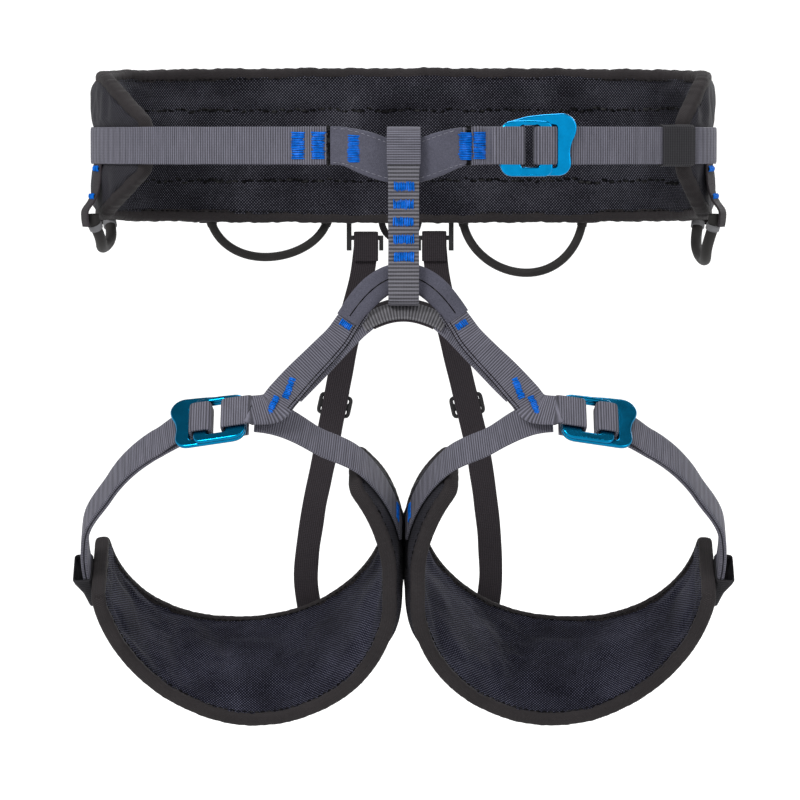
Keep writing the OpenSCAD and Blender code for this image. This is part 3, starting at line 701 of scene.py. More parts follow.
def quilt(patch):
    """A closed panel, filled by cloth pressure and sewn down at its edge, at its rows and under its strap:
    its points, its faces, its UVs and which of the faces are on the body side."""
    n, m = int(patch.long / QUILT_CELL), QUILT_ACROSS
    width = 2 * m - 2
    s = np.linspace(SEWN_IN, patch.long - SEWN_IN, n)[:, None]
    v = np.linspace(-1, 1, m)[None, :] * (patch.half_at(s) - SEWN_IN)
    s = np.broadcast_to(s, v.shape)
    inner = patch.at(s, v, patch.face_w(s, v, -1))
    outer = patch.at(s, v, patch.face_w(s, v, 1))[:, ::-1]
    ring = np.concatenate([inner, outer[:, 1:-1]], axis=1)
    ring_s = np.concatenate([s, s[:, 1:-1]], axis=1)
    ring_v = np.concatenate([v, v[:, ::-1][:, 1:-1]], axis=1)
    column = np.arange(width)[None, :]
    is_inner = column < m
    pinned = (column % (m - 1) == 0) | (np.arange(n)[:, None] % (n - 1) == 0)
    pinned |= ~is_inner & (np.abs(ring_v) < patch.lane(np.interp(ring_s, patch.s, patch.k)))
    gap = patch.half_at(s[:, :1]) / m * 1.2
    for row in patch.rows:
        pinned |= is_inner & (np.abs(ring_v - row) < gap)
    faces = grid_faces(n, width)
    body_side = [i % width < m - 1 for i in range(len(faces))]
    for base, turn in ((0, 1), ((n - 1) * width, -1)):      # end caps, whose corners the edge tape covers
        for j in range(1, m - 2):
            body_side.append(False)
            back = width - j
            faces.append([base + j, base + j + 1, base + (back - 1) % width, base + back % width][::turn])
    points = ring.reshape(-1, 3)
    points = inflated(points, faces, pinned.ravel())
    return points, faces, np.stack([ring_s, ring_v], axis=-1).reshape(-1, 2), body_side


def inflated(points, faces, pinned):
    """The points after the cloth solver has run on the closed mesh, with their motion capped."""
    obj = make_object("pad_form", points, faces)
    group = obj.vertex_groups.new(name="sewn")
    group.add(np.flatnonzero(pinned).tolist(), 1.0, "REPLACE")
    cloth = obj.modifiers.new("cloth", "CLOTH")
    for key, value in CLOTH.items():
        setattr(cloth.settings, key, value)
    cloth.settings.effector_weights.gravity = 0.0
    cloth.collision_settings.use_collision = False
    cloth.point_cache.frame_start, cloth.point_cache.frame_end = 1, CLOTH_FRAMES
    scene = bpy.context.scene
    for frame_number in range(1, CLOTH_FRAMES + 1):
        scene.frame_set(frame_number)
    posed = obj.evaluated_get(bpy.context.evaluated_depsgraph_get())
    shift = np.array([v.co for v in posed.to_mesh().vertices]) - points * MM
    size = np.linalg.norm(shift, axis=1, keepdims=True)
    posed.to_mesh_clear()
    bpy.data.objects.remove(obj)
    scene.frame_set(1)
    return points + shift * np.minimum(1.0, CLOTH_CAP / np.maximum(size, 1e-9)) / MM


def cover(name, points, faces, uvs, mirror):
    """Some of a panel's faces as a piece of their own, smoothed by subdivision."""
    used = sorted({i for f in faces for i in f})
    back = {old: new for new, old in enumerate(used)}
    made = make_object(name, points[used], [[back[i] for i in f] for f in faces], uvs[used], mirror)
    soft = made.modifiers.new("smooth", "SUBSURF")
    soft.levels = soft.render_levels = 1
    return made


def binding(name, patch, tape, seed, mirror):
    """Rolled edge tape all round a panel, with a row of stitches that dents it."""
    core = patch.outline(tape / 2 - 0.6)
    n = len(core)
    tan = unit(np.roll(core, -1, axis=0) - np.roll(core, 1, axis=0))
    inward = np.stack([-tan[:, 1], tan[:, 0]], axis=1)
    along = lengths(np.vstack([core, core[:1]]))[:-1]
    total = along[-1] + np.linalg.norm(core[0] - core[-1])
    waves = np.random.default_rng(seed)
    wobble = np.zeros(n)
    for length in (61, 37, 23, 13, 7):
        wobble += np.sin(2 * np.pi * (along / total * int(total / length) + waves.random())) * 0.14
    pucker = np.sin(2 * np.pi * along / total * int(total / 4.4)) * 0.16
    high = (patch.outer - patch.inner) * 0.33 + 1.0
    a = np.arange(22) * 2 * np.pi / 22
    across = tape / 2 * spow(np.cos(a), 0.75)
    lift = high * spow(np.sin(a), 0.7)
    dent = np.exp(-((across - tape * 0.27) / 0.8) ** 2)
    lift = lift[None, :] * (1 - (0.13 + pucker[:, None] * 0.55) * dent[None, :]) \
        + wobble[:, None] * 0.4 * np.sign(lift)[None, :]
    across = across[None, :] + (wobble + pucker * 0.5)[:, None]
    flat = core[:, None, :] + inward[:, None, :] * across[..., None]
    soup = Soup()
    soup.grid(patch.at(flat[..., 0], flat[..., 1], patch.mid + lift), along[:, None], a[None, :] * tape / 3,
              closed=True)
    stitches = Soup()
    line = core + inward * tape * 0.33
    for side in (-1, 1):
        for start in np.arange(0, total - TAPE_PITCH, TAPE_PITCH):
            ends = []
            for q in (start, start + TAPE_STITCH):
                i = np.interp(q, along, np.arange(n))
                j, part = int(i), i - int(i)
                p = line[j] * (1 - part) + line[(j + 1) % n] * part
                ends.append(patch.at(p[0], p[1], patch.mid + side * high * 0.92))
            normal = unit(patch.at(p[0], p[1], patch.mid + side * 9.0) - patch.at(p[0], p[1], patch.mid))
            stitches.stitch(*ends, normal, radius=waves.uniform(0.22, 0.42), rise=0.16)
    return soup.make(name, mirror), stitches.make(name + "_stitches", mirror)


def row_stitches(name, patch, seed):
    """Rows of stitches along a panel, sunk in their groove."""
    soup = Soup()
    waves = np.random.default_rng(seed)
    for row in patch.rows:
        for s in np.arange(ROW_ROOM, patch.long - ROW_ROOM, ROW_PITCH):
            if abs(row) > patch.half_at(s) - 10:
                continue
            v = row + waves.normal(0, 0.5)
            level = float(patch.face_w(np.array(s), np.array(row), -1)) - 0.45
            a = patch.at(s, v, level)
            b = patch.at(s + waves.uniform(2.2, 4.2), v + waves.normal(0, 0.5), level)
            normal = unit(patch.at(s, v, level - 5) - a)
            soup.stitch(a, b, normal, radius=waves.uniform(0.6, 1.05))
    return soup.make(name)


def padded_panel(prefix, patch, body, lining_material, tape, seed, mirror=False):
    """Lining, shell and binding of one padded panel."""
    points, faces, uvs, body_side = quilt(patch)
    lining = cover(prefix + "lining_cover", points, [f for f, b in zip(faces, body_side) if b], uvs, mirror)
    shell = cover(prefix + "shell_cover", points, [f for f, b in zip(faces, body_side) if not b], uvs, mirror)
    dress(lining, body, lining_material, prefix + "lining")
    dress(shell, body, "shell", prefix + "shell", prefix + "foam")
    edge, stitches = binding(prefix + "edge_tape", patch, tape, seed, mirror)
    dress(edge, body, "binding", prefix + "binding")
    dress(stitches, body, "dark_thread", slot="binding")
    if patch.rows:
        dress(row_stitches(prefix + "row_stitches", patch, seed), body, "dark_thread", slot="lining")


# ---------------------------------------------------------------- the waist pad and the leg pads
RIGHT_TIP_T = float(front_t(RIGHT_TIP_X)) - 2 * np.pi
LEFT_TIP_T = float(front_t(-LEFT_TIP_X))
PAD_HALF, PAD_BACK_EXTRA = 40.0, 3.5
LEG_FIRST, LEG_LAST = -83, 132
LEG_HALF = [(LEG_FIRST, 25), (-63, 27), (-35, 33), (0, 41), (50, 41), (90, 34), (110, 25), (LEG_LAST, 14)]


def pad_half_height(t):
    y = oval(t)[..., 1]
    tip = np.where(np.cos(t) > 0, oval(RIGHT_TIP_T)[1], oval(LEFT_TIP_T)[1])
    full = PAD_HALF + PAD_BACK_EXTRA * np.maximum(0, np.sin(t))
    return np.where(y >= 0, full, full * (1 - 0.7 * np.clip(y / tip, 0, 1) ** 2.8))


def leg_half_width(phi):
    angles, halves = zip(*LEG_HALF)
    wide = np.linspace(LEG_FIRST, LEG_LAST, 120)
    plain = np.interp(wide, angles, halves)
    soft = np.convolve(np.pad(plain, 8, mode="edge"), np.ones(17) / 17, mode="valid")
    return np.interp(np.degrees(phi), wide, soft)


def leg_place(phi, v, w):
    """The leg pads touch each other a little above the middle of their inner sides."""
    near = np.exp(-((phi - deg(90)) / deg(8)) ** 2)
    return on_ring(phi, v, w + near * (1.4 * smooth((v + 8) / 12) - 1.2 * smooth((-8 - v) / 10)))


WAIST_PATCH = Patch(on_belt, RIGHT_TIP_T, LEFT_TIP_T, pad_half_height, -5.4, 4.5, (-20.0, 20.0),
                    lambda t: np.full_like(t, 11.0))
LEG_PATCH = Patch(leg_place, deg(LEG_FIRST), deg(LEG_LAST), leg_half_width, -4.9, 4.1, (),
                  lambda phi: np.where((phi < deg(-58)) | (phi > deg(98)), 10.5, 0.0))


# ---------------------------------------------------------------- waist webbing
FIRST_TAIL_X = BUCKLE_X + 26
KEEPER_T = 1.0
SLEEVE_T, SLEEVE_FACE = 4.5, 2.28
WAIST_TACKS = ((-54.9, 1.85), (-44.4, 1.85), (-25.9, 2.95), (32.0, 4.35), (39.5, 3.85))   # x and level
SLEEVE_ENDS = ((-38.6, 1.8), (33.6, 3.7))


def belt_uw(u, w):
    t = front_t(BUCKLE_X + np.asarray(u, float) * -BUCKLE_N[1])
    return on_belt(t, dip_z(t), WEB_IN + np.asarray(w, float))


def waist_webbing():
    hidden = [belt_uw(-41, UNDER_W), belt_uw(-26, UNDER_W)]
    down = [belt_uw(u, w) for u, w in ((-25.5, 6.0), (-26.3, 3.9), (-28, TAIL_W), (-33, TAIL_W),
                                       (-42, TAIL_W), (-48, 1.1))]
    front = [on_belt(front_t(x), dip_z(front_t(x)), WEB_MID) for x in np.arange(14, -64, -4.0)]
    around = [on_belt(t, 0.0, WEB_MID) for t in
              np.linspace(float(front_t(-68)), float(front_t(FIRST_TAIL_X)) - 2 * np.pi, 90)]
    path = hidden + WAIST_FRAME.route(FOLD_PATH) + down + front + around + WAIST_FRAME.route(FINISH_PATH)
    tail = WAIST_FRAME.route(TAIL_PATH) + [on_belt(front_t(x), 0.0, WEB_MID + LAYER)
                                           for x in np.arange(FIRST_TAIL_X, 153.5, 4.0)]
    for name, points, per, seed, body, node in (
            ("waist_strap", path, 6, 11, "waist_belt", "waist_webbing"),
            ("waist_strap_over_bar", WAIST_FRAME.route(TURN_PATH), 8, 1, "waist_slider", "waist_strap_turn"),
            ("waist_strap_free_end", tail, 6, 14, "waist_belt", "waist_strap_tail")):
        dress(strap(name, points, UP, WEB_W, per=per, wobble=0.0, seed=seed), body, "webbing", node)


def keeper(name, node, body, place, middle, long, web, low, mirror=False):
    """Elastic band round a strap and its tail: a rounded rectangle in v and w, swept along u."""
    half = web / 2 + 0.2 + KEEPER_T / 2
    loop = eased(rounded_box(-half, low - KEEPER_T / 2, half, low + 2 * LAYER + KEEPER_T / 2, 1.6), 0.7, 1)
    tan = unit(np.roll(loop, -1, axis=0) - np.roll(loop, 1, axis=0))
    outline = band_profile(long, KEEPER_T, points=26)
    cord = 0.12 * np.sin(outline[:, 0] * 2 * np.pi / 1.3) * np.sign(outline[:, 1])
    u = middle + outline[None, :, 0]
    v = loop[:, None, 0] + tan[:, None, 1] * (outline[:, 1] + cord)[None, :]
    w = loop[:, None, 1] - tan[:, None, 0] * (outline[:, 1] + cord)[None, :]
    soup = Soup()
    points = place(np.broadcast_to(u, v.shape), v, w)
    soup.grid(points, lengths(loop)[:, None], outline[None, :, 0], closed=True)
    dress(soup.make(name, mirror), body, "keeper", node)


def leg_keeper_place(u, v, w):
    """Round the outer tip of a leg pad, standing off from the strap at the band's upper edge."""
    return on_ring(deg(u / 1.45 + 283), v, w + 4.5 * smooth((3 - u) / 11) * (w > 6))


def keepers():
    keeper("waist_strap_keeper", "waist_keeper", "waist_belt",
           lambda u, v, w: on_belt(front_t(u), v, WEB_IN + w), 141.25, 16.5, WEB_W, 0.0)
    for side in ("left", "right"):
        keeper(side + "_leg_strap_keeper", side + "_leg_keeper", side + "_leg_loop", leg_keeper_place,
               0.0, 17.0, LEG_WEB_W, 4.7, side == "left")


def tie_in_sleeve():
    xs = np.arange(-38, 33.5, 2.4)
    ts = front_t(xs)
    mids = on_belt(ts, dip_z(ts), WEB_MID + 0.1 + 1.0 * smooth((xs - 6) / 14))
    soup = Soup()
    wide = 20.2 + 2.4 * smooth((xs + 32) / 14) * smooth((31 - xs) / 14)
    path, side, normal, s = strap_into(soup, mids, UP, wide, thick=SLEEVE_T, per=4, step=0.6, rib=0.0,
                                       wobble=0.18, seed=21, power=0.22)
    dress(soup.make("tie_in_sleeve_cover"), "waist_belt", "sleeve", "waist_tie_in_sleeve")
    face = normal * (1 if normal[len(path) // 2][1] < 0 else -1)
    lines = Soup()
    for v in (-9.0, 9.0):
        row = path + side * v + face * SLEEVE_FACE
        for i in range(3, len(path) - 6, 5):
            lines.stitch(row[i], row[i + 3], face[i], rise=0.2)
    dress(lines.make("tie_in_sleeve_stitches"), "waist_belt", "grey_thread")
    ends = Soup()
    for x, level in SLEEVE_ENDS:
        across, n = belt_axes(front_t(x))
        ends.tack(on_belt(front_t(x), dip_z(front_t(x)), WEB_IN + level), UP, across, n, 21.0, 2.4, 0.8, 0.42)
    dress(ends.make("tie_in_sleeve_end_seams"), "waist_belt", "dark_thread")


def waist_tacks():
    soup = Soup()
    for x, level in WAIST_TACKS:
        across, n = belt_axes(front_t(x))
        soup.tack(on_belt(front_t(x), dip_z(front_t(x)), WEB_IN + level), UP, across, n, 14.6, 6.6)
    dress(soup.make("waist_tack_threads"), "waist_belt", "thread", "waist_bar_tacks")


# ---------------------------------------------------------------- belay loop and leg tie-in
BELAY_W, BELAY_T, BELAY_GAP = 17.4, 3.0, 5.0
BELAY_TOP, BELAY_BOTTOM = 9.2, -84.5
BELAY_TACKS = (-21.5, -31, -40, -49.3, -58.5)
ARCH_TOP, ARCH_K, ARCH_W, ARCH_T = -69.0, 0.0265, 14.6, 4.7
BRIDGE_ACROSS = unit([0, 0.82, 0.57])
BRIDGE_DOWN = unit([0, 0.57, -0.82])


def belay_route(radius):
    """Closed route round the belay loop; its two ends meet at the back."""
    top, bottom = BELAY_TOP - BELAY_T - BELAY_GAP, BELAY_BOTTOM + BELAY_T + BELAY_GAP
    back = [(radius, z) for z in np.arange(-40, top, 6.0)]
    crown = arc(0, top, radius, 0, 180, 13)
    front = [(-radius, z) for z in np.arange(top - 5, bottom, -6.0)]
    foot = arc(0, bottom, radius, 180, 360, 13)
    rise = [(radius, z) for z in np.arange(bottom + 5, -43, 6.0)] + [(radius, -39.6)]
    return [np.array([0.0, BELAY_Y + y, z]) for y, z in back + crown[1:-1] + front + foot[1:-1] + rise]


def belay_loop():
    soup = Soup()
    for radius, narrower, seed in ((BELAY_GAP + 0.76, 0.5, 31), (BELAY_GAP + 2.2, 0.0, 34)):
        route = belay_route(radius)
        wide = [BELAY_W - 1.1 * smooth((-8 - p[2]) / 8) - narrower for p in route]
        strap_into(soup, route, X_AXIS, wide, thick=1.4, per=5, step=0.4, rib=0.16, pitch=2.0, wobble=0.05,
                   seed=seed)
    dress(soup.make("belay_loop_webbing"), "belay_loop", "belay_webbing", "belay_loop")
    guard = [p for p in belay_route(BELAY_GAP + BELAY_T + 0.35) if p[2] > -10]
    piece = strap("belay_loop_guard", guard, X_AXIS, BELAY_W + 0.4, thick=0.8, per=5, rib=0.05, wobble=0.05)
    dress(piece, "belay_loop", "webbing")
    tacks = Soup()
    for z in BELAY_TACKS:
        place = np.array([rng.normal(0, 0.25), BELAY_Y - BELAY_GAP - BELAY_T + 0.05, z])
        tacks.tack(place, X_AXIS, UP, FORWARD, 11.0, 4.4)
    dress(tacks.make("belay_tack_threads"), "belay_loop", "thread", "belay_bar_tacks")


def arch_sleeve():
    """Sleeve over the leg strap: two lobes with a sunk seam along the middle of each face."""
    xs = np.arange(-29.5, 29.6, 2.0)
    mids = np.stack([xs, np.full_like(xs, BELAY_Y), ARCH_TOP - ARCH_K * xs * xs], axis=1)
    across = unit(np.stack([2 * ARCH_K * xs, 0 * xs, np.ones_like(xs)], axis=1))
    path, side, s = resample(catmull(mids, 4), 0.6, catmull(across, 4))
    normal = np.cross(unit(np.gradient(path, axis=0)), side)
    outline = band_profile(1.0, 1.0, points=44, power=0.5)
    seam = 1 - 0.34 * np.exp(-(outline[:, 0] / 0.045) ** 2)
    wave = gentle(s, 0.25, 41)[:, None]
    wrinkle = 0.10 * np.sin(s[:, None] * 2 * np.pi / 7.3 + outline[None, :, 0] * 5)
    taper = smooth((np.abs(path[:, :1]) - 16) / 13)
    thick = ARCH_T - 1.8 * taper
    height = (outline[:, 1] * seam)[None, :] * thick * (1 + 0.05 * wave + wrinkle * 0.4)
    width = outline[None, :, 0] * (ARCH_W - 1.3 * taper + wave)
    soup = Soup()
    soup.grid(path[:, None] + side[:, None] * width[..., None] + normal[:, None] * height[..., None],
              s[:, None], width)
    dress(soup.make("leg_tie_in_cover"), "waist_belt", "sleeve", "leg_tie_in_sleeve")
    seams = Soup()
    for face in (-1, 1):
        line = path + side * 0.25 + normal * (face * (thick * 0.5 - 0.12))
        seams.tube(line[4:-4], 0.36, BACK, sides=8)
    dress(seams.make("leg_tie_in_seams"), "waist_belt", "dark_thread")


def bridge():
    """Ribbed strap and its wider liner between the leg loops, under the belay loop."""
    xs = np.arange(-22, 22.1, 2.0)
    mids = np.stack([xs, np.full_like(xs, -99.5), -87.2 - 0.0155 * xs * xs], axis=1)
    piece = strap("leg_bridge_strap", mids, BRIDGE_ACROSS, 14.0, per=3, rib=0.14, pitch=1.7, wobble=0.05)
    dress(piece, "waist_belt", "bridge_webbing", "leg_bridge_webbing")
    lower = mids + BRIDGE_DOWN * (WEB_T / 2 + 0.85) + BRIDGE_ACROSS * 3.0
    piece = strap("leg_bridge_backing", lower[2:-2], BRIDGE_ACROSS, 20.5, thick=1.3, per=3, rib=0.04,
                  wobble=0.1)
    dress(piece, "waist_belt", "elastic", "leg_bridge_liner")


# ---------------------------------------------------------------- leg straps
UNDER_BAND = LEG_PATCH.outer + 0.5 + WEB_T / 2      # level of a strap on the outside of the leg pad
SIDEWAYS = unit([0.76, 0, 0.65])
FRONT_DOWN = [(69.5, -109.5, -138), (63, -106, -131), (54, -103, -121), (42.5, -101, -109.5),
              (35, -100.7, -101.5), (29.5, -100.7, -93.5), (24, -100.7, -86)]
FRONT_TURN = (0.3, 0.6, 0.85, 1, 1, 1, 1)
FRONT_WIDE = (18.5, 17.5, 16.2, 15.2, 14.4, 13.6, 13.2)
UNDER_DOWN = [(60.0, -102.2, -129.5), (52, -99.6, -121.5), (42, -98.1, -111.5), (33, -98.0, -103.0),
              (25, -98.6, -97.0), (17.5, -99.3, -92.5)]
UNDER_TURN = (0, 0, 0.15, 0.4, 0.7, 0.95)
UNDER_WIDE = (16.5, 16.5, 16, 15.5, 15, 14.4)
LEG_BEND = [(30, -100, -88), (44, -101, -112)]
LEG_TACKS = (((69, -109.2, -137.4), 0.35), ((60.5, -105.1, -128.2), 0.6))
INNER_TACK_PHI = deg(107.0)


def leg_front_strap(side):
    """Two layers: the upper goes into the tie-in sleeve, the lower one becomes the bridge."""
    mirror, body, bend = side == "left", side + "_leg_loop", on_side(side, LEG_BEND)
    fold = LEG_FRAME.route([(-21, 0.9)] + FOLD_PATH)
    v = LEG_FRAME.v
    soup = Soup()
    across = [v] * len(fold) + [unit(mix(v, SIDEWAYS, k)) for k in FRONT_TURN]
    width = [LEG_WEB_W] * len(fold) + list(FRONT_WIDE)
    path, edge, out, s = strap_into(soup, fold + FRONT_DOWN, across, width, wobble=0.04,
                                    seed=51 if mirror else 57)
    lines = Soup()
    half = np.interp(s, (s[-1] - 60, s[-1]), (LEG_WEB_W / 2, FRONT_WIDE[-1] / 2))[:, None]
    keep = s > s[-1] - 66
    for inset in (1.1, 2.9):
        for face in (-1, 1):
            line = path + edge * (inset - half) + out * (face * (WEB_T / 2 - 0.05))
            lines.tube(line[keep], 0.27, BACK, sides=6)
    dress(lines.make(side + "_leg_front_seams", mirror), body, "dark_thread", bend=bend)
    turn = [unit(mix(SIDEWAYS, BRIDGE_ACROSS, k)) for k in UNDER_TURN]
    strap_into(soup, UNDER_DOWN, turn, UNDER_WIDE, rib=0.1, wobble=0.04, seed=61 if mirror else 67)
    dress(soup.make(side + "_leg_front_webbing", mirror), body, "webbing", side + "_leg_front_strap",
          bend=bend)


def leg_straps(side):
    angles = np.arange(175, 99, -3.0)
    top = smooth((angles - 148) / 24)
    level = mix(UNDER_W, UNDER_BAND, smooth((150 - angles) / 18)) + 4.3 * top
    inner = on_ring(deg(angles), 2.2 * top, level)
    inner_across = unit(mix(ring_across(deg(angles)), [0, 0.5, 0.87], top[:, None]))

    angles = np.arange(300, LEG_BUCKLE_PHI + 19, -3.0)
    level = mix(UNDER_W, UNDER_BAND, smooth((angles - 240) / 20))
    finish = LEG_FRAME.route([(14, 0.5), (5, 0.9)] + FINISH_PATH[2:])
    outer = list(on_ring(deg(angles), 0.0, level)) + finish
    outer_across = list(ring_across(deg(angles))) + [LEG_FRAME.v] * len(finish)

    start = LEG_FRAME.route(TAIL_PATH[:3] + [(18, TAIL_W - 0.3)])
    angles = np.arange(LEG_BUCKLE_PHI + 20, 301, 3.0)
    level = mix(UNDER_W, UNDER_BAND, smooth((angles - 240) / 20)) + LAYER
    tail = start + list(on_ring(deg(angles), 0.0, level))
    tail_across = [LEG_FRAME.v] * len(start) + list(ring_across(deg(angles)))

    seed = 71 if side == "left" else 81
    for name, path, across, per, grain, body, node in (
            ("_leg_inner_webbing", inner, inner_across, 5, seed, "_leg_loop", "_leg_inner_strap"),
            ("_leg_outer_webbing", outer, outer_across, 6, seed + 1, "_leg_loop", "_leg_outer_strap"),
            ("_leg_free_end", tail, tail_across, 6, seed + 2, "_leg_loop", "_leg_strap_tail"),
            ("_leg_strap_over_bar", LEG_FRAME.route(TURN_PATH), LEG_FRAME.v, 8, 1, "_leg_slider",
             "_leg_strap_turn")):
        piece = strap(side + name, path, across, LEG_WEB_W, side == "left", per=per, wobble=0.0, seed=grain)
        dress(piece, side + body, "webbing", side + node)


def leg_tacks(side):
    mirror = side == "left"
    soup = Soup()
    for place, k in LEG_TACKS:
        n = unit(np.cross(unit([0.66, -0.26, -0.7]), unit(mix(LEG_FRAME.v, [0.71, 0, 0.7], k))))
        line = np.array([-0.30, 0, 0.95])
        line = unit(line - n * (line @ n))
        soup.tack(np.array(place) + n * (WEB_T / 2 + 0.15), line, np.cross(line, n), n, 12.0, 3.2)
    n, across = ring_out(INNER_TACK_PHI), ring_across(INNER_TACK_PHI)
    soup.tack(on_ring(INNER_TACK_PHI, 0.0, UNDER_BAND + 0.85), across, np.cross(across, n), n, 12.0, 4.2)
    dress(soup.make(side + "_leg_tack_threads", mirror), side + "_leg_loop", "thread",
          side + "_leg_bar_tacks")
    soup = Soup()
    across = unit([2 * ARCH_K * 29.0, 0, 1])
    soup.tack(np.array([30.6, BELAY_Y - 1.15, ARCH_TOP - ARCH_K * 900 - 1.5]), across,
              np.cross(across, FORWARD), FORWARD, 6.5, 3.0)
    dress(soup.make(side + "_tie_in_tack_threads", mirror), "waist_belt", "thread")


# ---------------------------------------------------------------- risers
RISER_YZ = ((103.4, -53), (102.9, -60), (97.5, -78), (87, -104), (69, -146), (58, -172), (49, -207),
            (46, -240))
RISER_X = {"left": (21.5, 21.8, 24.5, 31, 39, 44, 51, 55), "right": (17.5, 17.8, 20.0, 26, 36, 42, 47, 49)}
RISER_END_PHI = {"left": deg(22), "right": deg(26)}
RISER_BEND = [(24, 94, -88), (55, 44, -242)]
OVER_HANGER = ((98.6, -66), (98.9, -56), (99.3, -51.4), (101.2, -49.7), (103.1, -51.0))
ADJUSTER_AT = 4
OVER_BAR = ((-9, -0.9), (-5.4, -1.0), (-4.2, -2.2), (-2.6, -3.8), (0, -4.2), (2.6, -3.8), (4.2, -2.2),
            (5.4, -1.0), (9, -0.9))


def riser(side):
    """Elastic riser from its hanger to the leg pad, with the adjuster that it is threaded through."""
    mirror, body, bend = side == "left", side + "_leg_loop", on_side(side, RISER_BEND)
    phi = RISER_END_PHI[side]
    hang = [(x, y, z) for x, (y, z) in zip(RISER_X[side], RISER_YZ)]
    over = [(hang[0][0], y, z) for y, z in OVER_HANGER]
    low = [on_ring(phi, v, w) for v, w in ((46.0, 8.0), (38.0, 6.8), (24.0, 6.6))]
    points = over + hang + low
    turn = smooth((np.arange(len(points)) - len(over) - 3.5) / 3.5)
    across = [unit(mix(X_AXIS, -ring_tan(phi), k)) for k in turn]
    piece = strap(side + "_riser_band", points, across, 14.0, mirror, thick=1.6, rib=0.04, pitch=1.3,
                  wobble=0.25, seed=91 if mirror else 97)
    dress(piece, body, "elastic", side + "_riser", bend=bend)

    u = unit([0.2, -0.37, -0.9])
    v = unit(np.cross(unit(np.cross(u, X_AXIS)), u))
    axes = Frame(hang[ADJUSTER_AT], v, unit(np.cross(u, v)))
    windows = [rounded_box(s - 1.4, -7.4, s + 1.4, 7.4, 0.9) for s in (-3.2, 3.2)]
    piece = plate(side + "_riser_slide", axes.at, eased(rounded_box(-6.6, -9.6, 6.6, 9.6, 2.4)), windows,
                  1.9, -3.2, edge=0.6, mirror=mirror)
    dress(piece, body, "plastic", side + "_riser_adjuster", bend=bend)
    piece = strap(side + "_riser_band_over_slide", axes.route(OVER_BAR), axes.v, 13.4, mirror, thick=1.4,
                  rib=0.04, pitch=1.3, wobble=0.0)
    dress(piece, body, "elastic", bend=bend)


# ---------------------------------------------------------------- loops on the belt
# name: angles of its two ends, how deep it hangs, radius of its tube, how far it swings in
GEAR = {"left_front": (161, 194, 19, 3.5, 8), "right_front": (-14, 19, 26, 3.5, 8),
        "left_rear": (102, 127.5, 26.5, 2.5, 3), "right_rear": (56, 81, 35.5, 2.5, 3)}
GEAR_TOP = -37.0
TAB_BEND = (-31, -38)
COLLAR_FROM, COLLAR_LONG = 5.0, 4.0
HAUL_HALF, HAUL_DROP = 11, 17


def gear_loops():
    marks = Soup()
    for name, (first, last, depth, radius, inset) in GEAR.items():
        body, front = name + "_gear_loop", "front" in name
        k = np.linspace(0, np.pi, 90)
        t = deg(mix(first, last, (1 - np.cos(k)) / 2))
        fall = np.maximum(np.sin(k), 0)
        reach = WEB_IN + radius + 0.4 - inset * smooth(fall)
        path = resample(on_belt(t, GEAR_TOP - depth * fall ** 0.95, reach), 0.8)[0]
        s = lengths(path)
        edge = np.minimum(s, s[-1] - s)
        thick = radius * (1 - 0.12 * smooth((edge - 3) / 5) * front)
        middle = float(deg((first + last) / 2))
        out = belt_axes(middle)[1]
        soup = Soup()
        soup.tube(path, thick - 0.03, out, sides=18)
        dress(soup.make(name + "_gear_tube"), body, "tube", body)
        soup = Soup()
        for begin in (COLLAR_FROM, s[-1] - COLLAR_FROM - COLLAR_LONG):
            soup.tube(path[(s > begin) & (s < begin + COLLAR_LONG)], radius + 0.35, out, sides=18)
        dress(soup.make(name + "_gear_collars"), body, "collar" if front else "tube")
        tabs = Soup()
        for end in (first, last):
            t = float(deg(end))
            side, n = belt_axes(t)
            rows = [on_belt(t, z, WEB_IN + w) for z, w in (
                (-9, 0.7), (-16, 0.9), (-24, 2.0), (-30, 4.4), (-35, 2 * radius + 0.9),
                (-39.5, 2 * radius + 1.2), (-44.0, 2 * radius + 0.5))]
            strap_into(tabs, rows, side, 12.5 if front else 10.5, thick=1.3, per=6, rib=0.05, pitch=1.3,
                       wobble=0.0, seed=int(end) + 200)
            for z, w in ((-12.5, 1.75), (-27.5, 4.2)):
                marks.tack(on_belt(t, z, WEB_IN + w), side, UP, n, 9.0 if front else 7.5, 2.6)
        x, y = on_belt(middle, 0.0, WEB_IN)[:2]
        dress(tabs.make(name + "_gear_tab_bands"), body, "elastic", "gear_loop_tabs",
              bend=[(x, y, z) for z in TAB_BEND])
    dress(marks.make("gear_loop_tab_threads"), "waist_belt", "thread")


def haul_loop():
    k = np.linspace(0, np.pi, 60)
    y = on_belt(np.pi / 2, 0.0, 9.0)[1]
    path = np.stack([BACK_SHIFT - HAUL_HALF * np.cos(k), np.full_like(k, y),
                     GEAR_TOP - HAUL_DROP * np.maximum(np.sin(k), 0) ** 0.7], axis=1)
    path = resample(path, 0.6)[0]
    soup = Soup()
    soup.tube(path, 1.92 + 0.09 * np.sin(2 * np.pi * lengths(path) / 1.6), BACK, sides=16)
    dress(soup.make("haul_loop_cord"), "haul_loop", "cord", "haul_loop")
    tabs = Soup()
    for x in (BACK_SHIFT - HAUL_HALF, BACK_SHIFT + HAUL_HALF):
        tabs.tube([(x, y, -37.5), (x, y - 0.4, -33), (x, y - 1.4, -27)], [2.4, 2.4, 1.7], BACK, sides=14)
    dress(tabs.make("haul_loop_ferrules"), "waist_belt", "cord")


def hangers():
    """The hooks that the risers hang from keep their CAD mesh."""
    node = bpy.data.objects["riser_hangers"]
    soft = node.modifiers.new("round_edges", "BEVEL")
    soft.width, soft.segments, soft.limit_method = 0.6 * MM, 3, "ANGLE"
    node.modifiers.new("even_normals", "WEIGHTED_NORMAL")
    node.data.materials.clear()
    node.data.materials.append(MATERIALS["plastic"])


